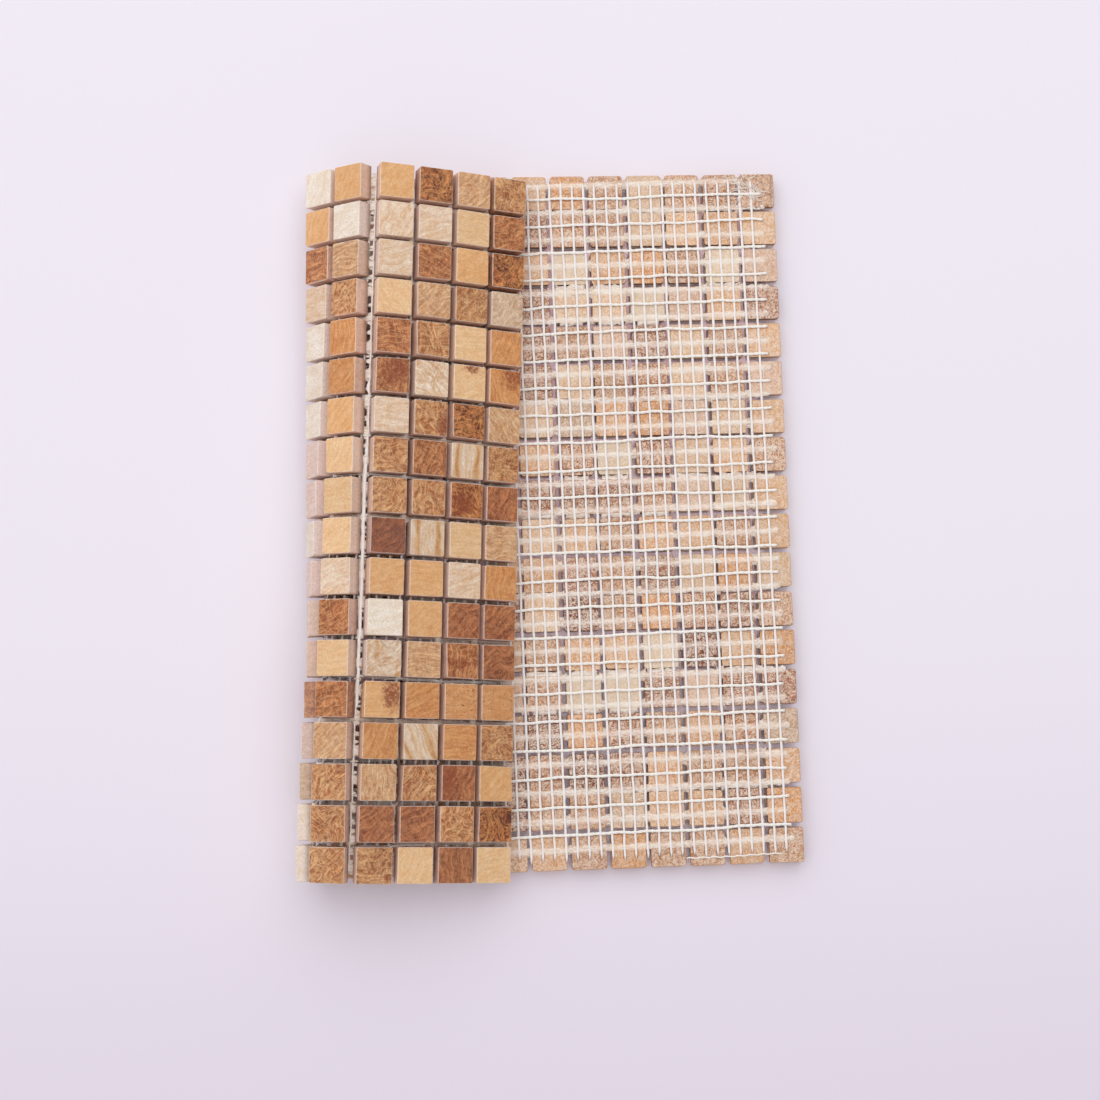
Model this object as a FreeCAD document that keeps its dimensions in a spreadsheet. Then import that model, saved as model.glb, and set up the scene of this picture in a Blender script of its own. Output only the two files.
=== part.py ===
"""A mesh-backed sheet of small square stone tiles, lying face down and folded over on itself.

Millimetres, +Z up. The sheet lies on a level floor with its polished faces down and its backing mesh
up. At its left end the last columns of tiles are folded over to the right, so that they show their
polished faces, and the free edge rests on the mesh of the lower layer. +X runs along a row of tiles to
the right, +Y along a column to the back. The origin is the bottom centre of the sheet's box.

The sheet is worked out in its own coordinates: "along" counts from the free right edge of the lower
layer through the fold to the free edge of the upper layer, "across" runs along the columns, and
"height" is measured from the level where the two layers of yarn meet, positive towards the polished
faces. Each row of tiles is a chain of flat facets that turn on parallel hinge lines in the joints.
"""
import FreeCAD, Part
import math
import os

DIMENSIONS = [
    ("tile_side", 15.2, "side of a square tile"),
    ("tile_thickness", 7.0, "thickness of a tile"),
    ("joint_width", 1.8, "gap between two tiles"),
    ("row_count", 18, "rows of tiles, back to front"),
    ("lower_columns", 12, "columns that lie face down on the floor"),
    ("warp_width", 0.8, "width of a yarn that runs along the columns"),
    ("warp_depth", 0.5, "thickness of that yarn"),
    ("warp_spacing", 5.02, "from one such yarn to the next"),
    ("warp_start", 11.2, "from the right edge to the first of them"),
    ("warp_margin", 0.7, "from the ends of these yarns to the edge of the tiles"),
    ("wefts_per_tile", 3, "yarns that cross each row of tiles"),
    ("twisted_width", 1.0, "width of a twisted yarn along the rows"),
    ("roving_width", 1.6, "width of a flat roving along the rows"),
    ("weft_depth", 0.6, "thickness of the yarns along the rows"),
    ("weft_margin", 5.3, "from the ends of these yarns to the edge of the tiles"),
    ("rest_gap", 0.35, "between the free edge and the mesh that it rests on"),
    ("hinge_skew", 1.3, "degrees between the hinge lines and the columns"),
    ("first_turn_back", 138.0, "degrees that the first folded column is turned, at the back"),
    ("first_turn_middle", 107.0, "the same in the middle of the sheet"),
    ("first_turn_front", 66.0, "the same at the front"),
    ("second_turn_back", 141.0, "degrees that the second folded column is turned, at the back"),
    ("second_turn_middle", 144.0, "the same in the middle of the sheet"),
    ("second_turn_front", 170.0, "the same at the front"),
    ("fall_share_third", 0.20, "share of the upper layer's fall that the third folded column takes"),
    ("fall_share_fourth", 0.24, "share of the fourth"),
    ("fall_share_fifth", 0.28, "share of the fifth"),
    ("fall_share_sixth", 0.28, "share of the sixth, at the free edge"),
]
UP = FreeCAD.Vector(0, 0, 1)


def write_dimensions(doc):
    """Put the driving dimensions in a spreadsheet, one row each with its alias and meaning."""
    sheet = doc.addObject("Spreadsheet::Sheet", "Dimensions")
    for line, (name, value, meaning) in enumerate(DIMENSIONS, start=1):
        sheet.set(f"A{line}", name)
        sheet.set(f"B{line}", str(value))
        sheet.set(f"C{line}", meaning)
        sheet.setAlias(f"B{line}", name)
    doc.recompute()
    return sheet


class Facet:
    """A flat piece of one row: where it starts, and its directions along, across and outward."""

    def __init__(self, start, corner, along, across):
        self.start = start
        self.corner = corner
        self.along = along
        self.across = across
        self.outward = along.cross(across)

    def point(self, along, across, height):
        """A point of the facet from its sheet coordinates."""
        return (self.corner + self.along * (along - self.start) + self.across * across
                + self.outward * height)


class Fold:
    """The folded shape of the sheet, worked out row by row from the dimensions."""

    def __init__(self, sheet):
        self.side = sheet.tile_side
        self.thickness = sheet.tile_thickness
        self.joint = sheet.joint_width
        self.pitch = self.side + self.joint
        self.rows = int(round(sheet.row_count))
        self.lower = int(round(sheet.lower_columns))
        self.mesh_level = self.thickness + sheet.warp_depth
        self.weft_depth = sheet.weft_depth
        self.rest_gap = sheet.rest_gap
        self.skew = math.radians(sheet.hinge_skew)
        self.first_turn = (sheet.first_turn_back, sheet.first_turn_middle, sheet.first_turn_front)
        self.second_turn = (sheet.second_turn_back, sheet.second_turn_middle, sheet.second_turn_front)
        self.fall_shares = (sheet.fall_share_third, sheet.fall_share_fourth,
                            sheet.fall_share_fifth, sheet.fall_share_sixth)
        self.columns = self.lower + 2 + len(self.fall_shares)
        self.length = self.columns * self.pitch - self.joint
        self.depth = self.rows * self.pitch - self.joint

    def hinge(self, number):
        """How far along the sheet a hinge lies: in the middle of the joint before that column."""
        return (self.lower + number) * self.pitch - self.joint / 2

    def row_middle(self, row):
        """The Y of the middle of a row, with the back edge of the sheet at 0."""
        return -(row * self.pitch + self.side / 2)

    def turn(self, degrees, row):
        """An angle that varies smoothly from the back row through the middle to the front row."""
        back, middle, front = (math.radians(value) for value in degrees)
        way = row / (self.rows - 1)
        bend = 2 * (back + front - 2 * middle)
        return back + (front - back - bend) * way + bend * way * way

    def turns(self, row):
        """The turn of each folded column of a row, so that its free edge comes down on the mesh."""
        rising = [self.turn(self.first_turn, row), self.turn(self.second_turn, row)]
        rise = self.pitch * sum(math.sin(angle) for angle in rising)
        landing = (self.weft_depth + self.rest_gap) / math.cos(self.skew)
        reach = self.pitch * sum(self.fall_shares) - self.joint / 2 * self.fall_shares[-1]
        fall = (rise - landing + (self.mesh_level - self.thickness)) / reach
        return rising + [math.pi + math.asin(share * fall) for share in self.fall_shares]

    def facets(self, row):
        """The facets of a row: the flat lower layer, then one for each folded column."""
        hinge_line = FreeCAD.Vector(math.sin(self.skew), math.cos(self.skew), 0)
        square_to_it = FreeCAD.Vector(math.cos(self.skew), -math.sin(self.skew), 0)
        middle = self.row_middle(row)
        found = [Facet(0, FreeCAD.Vector(0, middle, self.mesh_level),
                       FreeCAD.Vector(-1, 0, 0), FreeCAD.Vector(0, 1, 0))]
        for number, angle in enumerate(self.turns(row)):
            swing = UP * math.sin(angle) - square_to_it * math.cos(angle)
            along = swing * math.cos(self.skew) - hinge_line * math.sin(self.skew)
            across = hinge_line * math.cos(self.skew) + swing * math.sin(self.skew)
            start = self.hinge(number)
            found.append(Facet(start, found[-1].point(start, 0, 0), along, across))
        return found

    def tile_facet(self, facets, column):
        """The facet that carries a tile of that column."""
        return facets[max(0, column - self.lower + 1)]

    def centre(self):
        """The bottom centre of the box round all tiles."""
        corners = []
        for row in range(self.rows):
            facets = self.facets(row)
            for column in range(self.columns):
                facet = self.tile_facet(facets, column)
                for along in (column * self.pitch, column * self.pitch + self.side):
                    for across in (-self.side / 2, self.side / 2):
                        for height in (self.mesh_level - self.thickness, self.mesh_level):
                            corners.append(facet.point(along, across, height))
        middle_x = (min(p.x for p in corners) + max(p.x for p in corners)) / 2
        middle_y = (min(p.y for p in corners) + max(p.y for p in corners)) / 2
        return FreeCAD.Vector(middle_x, middle_y, 0)


def placement(facet, corner, origin):
    """A placement whose X, Y and Z run along, across and outward from a corner."""
    along, across, outward = facet.along, facet.across, facet.outward
    spot = corner - origin
    return FreeCAD.Placement(FreeCAD.Matrix(along.x, across.x, outward.x, spot.x,
                                            along.y, across.y, outward.y, spot.y,
                                            along.z, across.z, outward.z, spot.z,
                                            0, 0, 0, 1))


def add_block(doc, name, sizes, place):
    """A rectangular block whose length, width and height are expressions of the dimensions."""
    block = doc.addObject("Part::Box", name)
    for side, expression in zip(("Length", "Width", "Height"), sizes):
        block.setExpression(side, expression)
    block.Placement = place
    return block


def gather(doc, label, pieces):
    """One labelled sub-part that holds several pieces of the same kind."""
    group = doc.addObject("Part::Compound", label)
    group.Label = label
    group.Links = pieces
    return group


def flat_or_two(corners):
    """The face over four corners, or two triangles where they don't lie in one plane."""
    first, second, third, fourth = corners
    normal = (second - first).cross(third - first)
    if abs(normal.normalize().dot(fourth - first)) < 1e-7:
        loops = [corners]
    else:
        loops = [(first, second, third), (first, third, fourth)]
    return [Part.Face(Part.makePolygon(list(loop) + [loop[0]])) for loop in loops]


def yarn(sections, origin):
    """A solid yarn through four-cornered sections, given in order along it."""
    sections = [[corner - origin for corner in section] for section in sections]
    faces = flat_or_two(sections[0][::-1]) + flat_or_two(sections[-1])
    for here, there in zip(sections, sections[1:]):
        for side in range(4):
            after = (side + 1) % 4
            faces += flat_or_two((here[side], here[after], there[after], there[side]))
    solid = Part.makeSolid(Part.makeShell(faces))
    if solid.Volume < 0:
        solid.reverse()
    return solid


def add_yarn(doc, name, sections, origin):
    """A yarn that bends with the fold, as an object of its own."""
    piece = doc.addObject("Part::Feature", name)
    piece.Shape = yarn(sections, origin)
    return piece


def add_tile_rows(doc, fold, origin):
    """Every row of tiles, each tile a separate block."""
    sizes = ("Dimensions.tile_side", "Dimensions.tile_side", "Dimensions.tile_thickness")
    rows = []
    for row in range(fold.rows):
        facets = fold.facets(row)
        tiles = []
        for column in range(fold.columns):
            facet = fold.tile_facet(facets, column)
            back = facet.point(column * fold.pitch, -fold.side / 2, fold.mesh_level - fold.thickness)
            name = f"Tile_{row + 1:02d}_{column + 1:02d}"
            tiles.append(add_block(doc, name, sizes, placement(facet, back, origin)))
        rows.append(gather(doc, f"tile_row_{row + 1:02d}", tiles))
    return rows


def add_warps(doc, sheet, fold, origin):
    """The yarns along the columns, lying on the backs of the tiles."""
    half, depth, margin = sheet.warp_width / 2, sheet.warp_depth, sheet.warp_margin
    count = int((fold.length - sheet.weft_margin - sheet.warp_start) // sheet.warp_spacing) + 1
    sizes = ("Dimensions.warp_width",
             "Dimensions.row_count * (Dimensions.tile_side + Dimensions.joint_width)"
             " - Dimensions.joint_width - 2 * Dimensions.warp_margin",
             "Dimensions.warp_depth")
    rows = [fold.facets(row) for row in range(fold.rows)]
    front = -fold.depth + margin - fold.row_middle(0)
    pieces = []
    for number in range(count):
        spot = sheet.warp_start + number * sheet.warp_spacing
        name = f"Warp_{number + 1:02d}"
        if spot + half < fold.hinge(0):
            flat = rows[0][0]
            corner = flat.point(spot - half, front, 0)
            pieces.append(add_block(doc, name, sizes, placement(flat, corner, origin)))
            continue
        sections = []
        for row, facets in enumerate(rows):
            back = fold.side / 2 - (margin if row == 0 else 0)
            near = -fold.side / 2 + (margin if row == fold.rows - 1 else 0)
            seat = seat_of(fold, facets, spot, half)
            for across in (back, near):
                sections.append([seat.point(spot - half, across, 0), seat.point(spot + half, across, 0),
                                 seat.point(spot + half, across, depth),
                                 seat.point(spot - half, across, depth)])
        pieces.append(add_yarn(doc, name, sections, origin))
    return gather(doc, "mesh_warp", pieces)


def seat_of(fold, facets, spot, half):
    """The facet that a yarn along the columns lies on, or the mean of two where it is on their hinge."""
    for number in range(len(facets) - 1):
        hinge = fold.hinge(number)
        if abs(spot - hinge) < half:
            before, after = facets[number], facets[number + 1]
            along = (before.along + after.along).normalize()
            outward = (before.outward + after.outward).normalize()
            return Facet(hinge, after.corner, along, outward.cross(along))
    turned = sum(1 for number in range(len(facets) - 1) if spot > fold.hinge(number))
    return facets[turned]


def add_wefts(doc, sheet, fold, origin):
    """The yarns along the rows: twisted ones and flat rovings by turns, round the fold."""
    per_tile = int(round(sheet.wefts_per_tile))
    kinds = (("mesh_roving", "Roving", sheet.roving_width), ("mesh_twisted", "Twisted", sheet.twisted_width))
    pieces = {label: [] for label, _, _ in kinds}
    for number in range(fold.rows * per_tile):
        row, place = divmod(number, per_tile)
        label, name, width = kinds[number % 2]
        middle = ((per_tile - 1) / 2 - place) * fold.pitch / per_tile
        edges = (middle - width / 2, middle + width / 2)
        facets = fold.facets(row)
        sections = [weft_end(facets[0], sheet.weft_margin, edges, fold.weft_depth)]
        for turned, (before, after) in enumerate(zip(facets, facets[1:])):
            inward = before.outward + after.outward
            mitre = inward * (-fold.weft_depth / (1 + before.outward.dot(after.outward)))
            outer = [after.point(fold.hinge(turned) - edge * math.tan(fold.skew), edge, 0)
                     for edge in edges]
            sections.append([outer[0], outer[1], outer[1] + mitre, outer[0] + mitre])
        sections.append(weft_end(facets[-1], fold.length - sheet.weft_margin, edges, fold.weft_depth))
        pieces[label].append(add_yarn(doc, f"{name}_{number + 1:02d}", sections, origin))
    return [gather(doc, label, pieces[label]) for label, _, _ in kinds]


def weft_end(facet, along, edges, depth):
    """The square end of a yarn along a row."""
    first, second = edges
    return [facet.point(along, first, 0), facet.point(along, second, 0),
            facet.point(along, second, -depth), facet.point(along, first, -depth)]


def check(doc, sub_parts):
    """Stop if an object failed or a sub-part's shape isn't sound."""
    for thing in doc.Objects:
        if {"Invalid", "Error"} & set(thing.State):
            raise RuntimeError(f"{thing.Name} is {thing.State}")
    for part in sub_parts:
        if part.Shape.isNull() or not part.Shape.isValid():
            raise RuntimeError(f"{part.Label} has no sound shape")


def main():
    """Build the sheet and write one file for each sub-part."""
    doc = FreeCAD.newDocument("MosaicSheet")
    sheet = write_dimensions(doc)
    fold = Fold(sheet)
    origin = fold.centre()
    sub_parts = add_tile_rows(doc, fold, origin)
    sub_parts.append(add_warps(doc, sheet, fold, origin))
    sub_parts += add_wefts(doc, sheet, fold, origin)
    doc.recompute()
    check(doc, sub_parts)
    os.makedirs("parts", exist_ok=True)
    for part in sub_parts:
        part.Shape.exportStep(os.path.join("parts", f"{part.Label}.step"))
        print(f"{part.Label}: {len(part.Shape.Solids)} solids, {part.Shape.Volume:.1f} mm3")


main()
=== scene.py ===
"""Dresses a folded mosaic sheet: stone tiles, backing mesh, glue, studio and camera.

Metres, +Z up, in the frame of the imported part. The sheet is thought of as it was made, flat: "along"
counts from its free right edge through the fold to the other free edge, "across" counts from its back
edge to its front edge, and "height" stands up from the backs of the tiles. Bed, which is read from the
packed tiles, says where such a point lies once the sheet is folded.
"""

import logging
import math
from dataclasses import dataclass, field, replace
from enum import Enum
from random import Random

import bmesh
import bpy
from bmesh.types import BMEdge, BMesh, BMVert
from bpy.types import Material, Object
from bpy.types import NodeSocket as Socket
from mathutils import Euler, Matrix, Vector, noise
from mathutils.geometry import intersect_line_line

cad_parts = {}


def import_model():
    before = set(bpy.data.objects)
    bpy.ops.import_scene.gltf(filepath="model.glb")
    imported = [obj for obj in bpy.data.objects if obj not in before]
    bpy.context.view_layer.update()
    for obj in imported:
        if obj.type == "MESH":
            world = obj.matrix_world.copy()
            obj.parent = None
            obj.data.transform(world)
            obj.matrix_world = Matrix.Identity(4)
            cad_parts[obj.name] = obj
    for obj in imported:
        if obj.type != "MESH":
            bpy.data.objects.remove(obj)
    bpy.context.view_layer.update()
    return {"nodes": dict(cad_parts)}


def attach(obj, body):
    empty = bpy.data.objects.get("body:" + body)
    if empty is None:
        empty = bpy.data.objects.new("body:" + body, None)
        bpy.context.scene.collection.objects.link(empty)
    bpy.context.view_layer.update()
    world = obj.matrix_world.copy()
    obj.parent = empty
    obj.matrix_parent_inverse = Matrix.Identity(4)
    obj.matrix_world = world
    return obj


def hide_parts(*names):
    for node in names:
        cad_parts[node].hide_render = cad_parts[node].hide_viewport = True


LOG = logging.getLogger("mosaic")
MM = 0.001
NOISE_SEED = 5
Pair = tuple[float, float]
Triple = tuple[float, float, float]
Colour = tuple[float, float, float]
Screen = tuple[int, int, int]
Feed = Socket | float | Triple


def paint(red: int, green: int, blue: int) -> Colour:
    """Turns a screen colour, 0 to 255 for each of its lights, into the linear one that shaders take."""
    shares = (level / 255 for level in (red, green, blue))
    return tuple(s / 12.92 if s <= 0.04045 else ((s + 0.055) / 1.055) ** 2.4 for s in shares)


def blended(first: Colour, second: Colour, share: float) -> Colour:
    """The colour that lies a share of the way from the first to the second."""
    return tuple(a + (b - a) * share for a, b in zip(first, second))


@dataclass(frozen=True)
class Mark:
    """Cloudy noise per millimetre, and the span of it over which a mark comes in.

    The noise may be swirled, drawn out along its axes or moved. For thin lines the span starts at nought
    and ends at their edge.
    """

    scale: float
    detail: float
    roughness: float = 0.5
    span: Pair = (0.0, 1.0)
    swirl: float = 0.0
    stretch: Triple | None = None
    offset: Triple | None = None


class Tree:
    """A material's nodes, with a short call for each kind of node that the finishes use.

    wave_rate is how many radians of a wave texture fit in a unit at scale one, and middle is the mean of
    a noise.
    """

    wave_rate = 20.0
    wave_detail_scale = 1.2
    middle = 0.5

    def __init__(self, name: str) -> None:
        """Makes the material with a Principled shader.

        Args:
            name: the material's name.
        """
        self.material = bpy.data.materials.new(name)
        self.material.use_nodes = True
        self.nodes = self.material.node_tree.nodes
        self.links = self.material.node_tree.links
        self.nodes.clear()
        self.shader = self.nodes.new("ShaderNodeBsdfPrincipled")
        output = self.nodes.new("ShaderNodeOutputMaterial")
        self.links.new(self.shader.outputs["BSDF"], output.inputs["Surface"])

    def feed(self, socket: Socket, value: Feed) -> None:
        """Links a socket to another, or sets it to a number, vector or colour.

        Args:
            socket: the input.
            value: an output socket, a number or three numbers.
        """
        if isinstance(value, Socket):
            self.links.new(value, socket)
        elif socket.type == "RGBA":
            socket.default_value = (*value, 1.0)
        else:
            socket.default_value = value

    def attribute(self, name: str, output: str = "Fac") -> Socket:
        """An attribute of the piece's own mesh."""
        node = self.nodes.new("ShaderNodeAttribute")
        node.attribute_name = name
        return node.outputs[output]

    def sheet_place(self) -> tuple[Socket, Socket]:
        """How far along and across the flat sheet a point is, in millimetres."""
        chart = self.nodes.new("ShaderNodeUVMap")
        chart.uv_map = "sheet"
        split = self.nodes.new("ShaderNodeSeparateXYZ")
        self.links.new(chart.outputs["UV"], split.inputs[0])
        return split.outputs["X"], split.outputs["Y"]

    def stretched(self, vector: Feed, scale: Triple) -> Socket:
        """A pattern's coordinates, scaled by its three axes."""
        node = self.nodes.new("ShaderNodeMapping")
        self.feed(node.inputs["Vector"], vector)
        node.inputs["Scale"].default_value = scale
        return node.outputs["Vector"]

    def vector_math(self, operation: str, first: Feed, second: Feed) -> Socket:
        """A sum or product of two vectors."""
        node = self.nodes.new("ShaderNodeVectorMath")
        node.operation = operation
        self.feed(node.inputs[0], first)
        self.feed(node.inputs[3] if operation == "SCALE" else node.inputs[1], second)
        return node.outputs["Vector"]

    def math(self, operation: str, first: Feed, second: Feed = 0.0) -> Socket:
        """A function of one or two numbers."""
        node = self.nodes.new("ShaderNodeMath")
        node.operation = operation
        self.feed(node.inputs[0], first)
        self.feed(node.inputs[1], second)
        return node.outputs[0]

    def plus(self, first: Feed, second: Feed) -> Socket:
        """The sum of two numbers."""
        return self.math("ADD", first, second)

    def minus(self, first: Feed, second: Feed) -> Socket:
        """The difference of two numbers."""
        return self.math("SUBTRACT", first, second)

    def times(self, first: Feed, second: Feed) -> Socket:
        """The product of two numbers."""
        return self.math("MULTIPLY", first, second)

    def noise(self, vector: Feed, mark: Mark, output: str = "Fac") -> Socket:
        """The cloudy noise of a mark.

        Args:
            vector: the coordinates.
            mark: the mark.
            output: Fac or Color.

        Returns:
            The noise's socket.
        """
        if mark.stretch:
            vector = self.stretched(vector, mark.stretch)
        if mark.offset:
            vector = self.vector_math("ADD", vector, mark.offset)
        node = self.nodes.new("ShaderNodeTexNoise")
        self.feed(node.inputs["Vector"], vector)
        node.inputs["Scale"].default_value = mark.scale
        node.inputs["Detail"].default_value = mark.detail
        node.inputs["Roughness"].default_value = mark.roughness
        node.inputs["Distortion"].default_value = mark.swirl
        return node.outputs[output]

    def marked(self, vector: Feed, mark: Mark, share: float, least: float = 0.0) -> Socket:
        """How strong a mark is at each point, from its least share to its full one."""
        return self.spread(self.noise(vector, mark), *mark.span, least, share)

    def wave(self, vector: Feed, spacing: float, distortion: float, detail: float,
             rings: bool = False, steep: bool = False) -> Socket:
        """Bands or rings, bent by noise.

        Args:
            vector: the coordinates.
            spacing: how far apart the bands lie.
            distortion: how far they are bent, in radians of a band.
            detail: how fine the bends are.
            rings: true for rings round the origin.
            steep: true for bands that fade to one side only.

        Returns:
            The socket with the bands.
        """
        node = self.nodes.new("ShaderNodeTexWave")
        node.wave_type = "RINGS" if rings else "BANDS"
        node.wave_profile = "SAW" if steep else "SIN"
        node.bands_direction = "Y"
        self.feed(node.inputs["Vector"], vector)
        node.inputs["Scale"].default_value = math.tau / (self.wave_rate * spacing)
        node.inputs["Distortion"].default_value = distortion
        node.inputs["Detail"].default_value = detail
        node.inputs["Detail Scale"].default_value = self.wave_detail_scale
        return node.outputs["Fac"]

    def spread(self, value: Feed, low: float, high: float, at_low: float = 0.0,
               at_high: float = 1.0) -> Socket:
        """Maps a number smoothly from one range to another and holds it there.

        Args:
            value: the number.
            low: where the first range starts.
            high: where it ends.
            at_low: the result at its start.
            at_high: the result at its end.

        Returns:
            The socket with the result.
        """
        node = self.nodes.new("ShaderNodeMapRange")
        node.interpolation_type = "SMOOTHSTEP"
        self.feed(node.inputs["Value"], value)
        node.inputs["From Min"].default_value = low
        node.inputs["From Max"].default_value = high
        node.inputs["To Min"].default_value = at_low
        node.inputs["To Max"].default_value = at_high
        return node.outputs["Result"]

    def lines(self, vector: Feed, mark: Mark, share: float) -> Socket:
        """Thin lines where a mark's noise passes its middle, with their share in their own middle."""
        past = self.math("ABSOLUTE", self.minus(self.noise(vector, mark), self.middle))
        return self.spread(past, *mark.span, share, 0.0)

    def mix(self, share: Feed, first: Feed, second: Feed) -> Socket:
        """Mixes two colours.

        Args:
            share: how much of the second.
            first: a colour or its socket.
            second: a colour or its socket.

        Returns:
            The socket with the mixed colour.
        """
        node = self.nodes.new("ShaderNodeMix")
        node.data_type = "RGBA"
        self.feed(node.inputs[0], share)
        self.feed(node.inputs[6], first)
        self.feed(node.inputs[7], second)
        return node.outputs[2]

    def ramp(self, value: Feed, stops: list[tuple[float, Colour]]) -> Socket:
        """A run of colours.

        Args:
            value: 0 to 1 along the run.
            stops: each colour with its place.

        Returns:
            The socket with the colour.
        """
        node = self.nodes.new("ShaderNodeValToRGB")
        self.feed(node.inputs["Fac"], value)
        elements = node.color_ramp.elements
        elements[0].position, elements[0].color = stops[0][0], (*stops[0][1], 1.0)
        elements[1].position, elements[1].color = stops[-1][0], (*stops[-1][1], 1.0)
        for place, colour in stops[1:-1]:
            elements.new(place).color = (*colour, 1.0)
        return node.outputs["Color"]

    def bump(self, height: Feed, depth: float, strength: float) -> None:
        """Gives the shader a relief.

        Args:
            height: the socket with the relief, 0 to 1.
            depth: how deep it is in metres.
            strength: how much of it shows.
        """
        node = self.nodes.new("ShaderNodeBump")
        node.inputs["Distance"].default_value = depth
        node.inputs["Strength"].default_value = strength
        self.feed(node.inputs["Height"], height)
        self.feed(self.shader.inputs["Normal"], node.outputs["Normal"])


class Stone(Enum):
    """The kinds of stone in the sheet, with their letters in the laying chart."""

    WHITE = "W"
    CREAM = "C"
    PINK = "P"
    LIGHT = "L"
    HONEY = "H"
    ORANGE = "O"
    TAN = "T"
    GOLDEN = "G"
    BROWN = "B"
    RED = "R"
    DARK = "D"
    SMOKY = "K"
    BANDED = "S"
    VEINED = "V"
    PITTED = "N"
    GREY = "E"


@dataclass(frozen=True)
class MeshLay:
    """How the yarns of the backing mesh lie on the flat sheet, in millimetres.

    The mesh was laid a little askew: the warps near the right edge as they come forward, and the cross
    yarns come forward as they run to the left. Even cross yarns are flat rovings, odd ones are twisted.
    """

    first_warp: float = 10.6
    warp_spacing: float = 5.0
    warp_drift: float = -0.0104
    first_weft: float = 2.8
    weft_spacing: float = 6.06
    weft_drift: float = 0.018
    wefts: int = 49
    right_end: float = 5.4
    back_end: float = 3.2
    front_end: float = 4.0

    def warp(self, number: int, across: float) -> float:
        """How far along a warp lies, at a distance across the sheet."""
        return self.first_warp + number * self.warp_spacing + across * self.warp_drift

    def weft(self, number: int, along: float) -> float:
        """How far across a cross yarn lies, at a distance along the sheet."""
        return self.first_weft + number * self.weft_spacing + along * self.weft_drift

    def near_warp(self, along: float, across: float) -> float:
        """How near a point is to a warp, from 0 halfway between two to 1 on one."""
        steps = (along - across * self.warp_drift - self.first_warp) / self.warp_spacing
        return 1 - 2 * abs(steps - round(steps))

    def near_roving(self, along: float, across: float) -> float:
        """How near a point is to a roving, from 0 on a twisted yarn to 1 on a roving."""
        steps = (across - along * self.weft_drift - self.first_weft) / (2 * self.weft_spacing)
        return 1 - 2 * abs(steps - round(steps))


LAY = MeshLay()


@dataclass(frozen=True)
class GlueMarks:
    """What the glue leaves on the backs beside the yarns, in millimetres, and its shares of 1."""

    waver: Mark = Mark(0.8, 3.0, 0.6)
    film_waver: float = 4.0
    film_edge: Pair = (0.7, 2.1)
    film_share: float = 0.60
    film: Colour = paint(236, 226, 212)
    stain_waver: float = 0.9
    warp_edge: Pair = (0.50, 0.95)
    twisted_edge: Pair = (0.62, 1.15)
    stain_share: float = 0.75
    side_fade: Pair = (-0.6, 0.4)
    end_fade: Pair = (-0.5, 0.5)
    bare_fade: Pair = (-0.1, 0.1)
    last_fade: Pair = (1.0, 2.0)

    def over(self, tree: Tree, grain: Socket, colour: Socket, brown: Colour, depth: float) -> Socket:
        """Lays stains beside the thin yarns and a pale film beside the flat ones.

        Args:
            tree: the material's nodes.
            grain: the tile's own coordinates in millimetres.
            colour: the colour without them.
            brown: the stains' colour.
            depth: how far the sheet reaches from back to front, in millimetres.

        Returns:
            The socket with the colour.
        """
        along, across = tree.sheet_place()
        waver = tree.minus(tree.noise(grain, self.waver), tree.middle)
        warp_reach = tree.minus(along, tree.times(across, LAY.warp_drift))
        warp = self.distance(tree, warp_reach, LAY.first_warp, LAY.warp_spacing)
        weft = tree.minus(across, tree.times(along, LAY.weft_drift))
        pair = LAY.weft_spacing * 2
        roving = self.distance(tree, weft, LAY.first_weft, pair)
        twisted = self.distance(tree, weft, LAY.first_weft + LAY.weft_spacing, pair)
        meshed = self.beyond(tree, along, LAY.right_end, self.side_fade)
        film = tree.plus(roving, tree.times(waver, self.film_waver))
        film = tree.times(tree.spread(film, *self.film_edge, self.film_share, 0.0), meshed)
        colour = tree.mix(film, colour, self.film)
        ends = tree.times(self.beyond(tree, across, LAY.back_end, self.end_fade),
                          self.beyond(tree, across, depth - LAY.front_end, self.end_fade, True))
        bare = LAY.first_warp - LAY.warp_spacing / 2
        ends = tree.times(ends, self.beyond(tree, warp_reach, bare, self.bare_fade))
        last = LAY.first_weft + (LAY.wefts - 1) * LAY.weft_spacing
        crossed = tree.times(meshed, self.beyond(tree, across, last, self.last_fade, True))
        for yarn, edge, held in ((warp, self.warp_edge, ends), (twisted, self.twisted_edge, crossed)):
            reach = tree.plus(yarn, tree.times(waver, self.stain_waver))
            stain = tree.times(tree.spread(reach, *edge, self.stain_share, 0.0), held)
            colour = tree.mix(stain, colour, brown)
        return colour

    @staticmethod
    def beyond(tree: Tree, reach: Socket, place: float, fade: Pair, ends: bool = False) -> Socket:
        """1 beyond a place and 0 before it, or the other way round for what ends there."""
        return tree.spread(reach, place + fade[0], place + fade[1], float(ends), float(not ends))

    @staticmethod
    def distance(tree: Tree, reach: Socket, first: float, spacing: float) -> Socket:
        """How far a point is from the nearest of evenly spaced yarns."""
        steps = tree.math("DIVIDE", tree.minus(reach, first - spacing / 2), spacing)
        return tree.times(tree.math("ABSOLUTE", tree.minus(tree.math("FRACT", steps), 0.5)), spacing)


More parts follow.
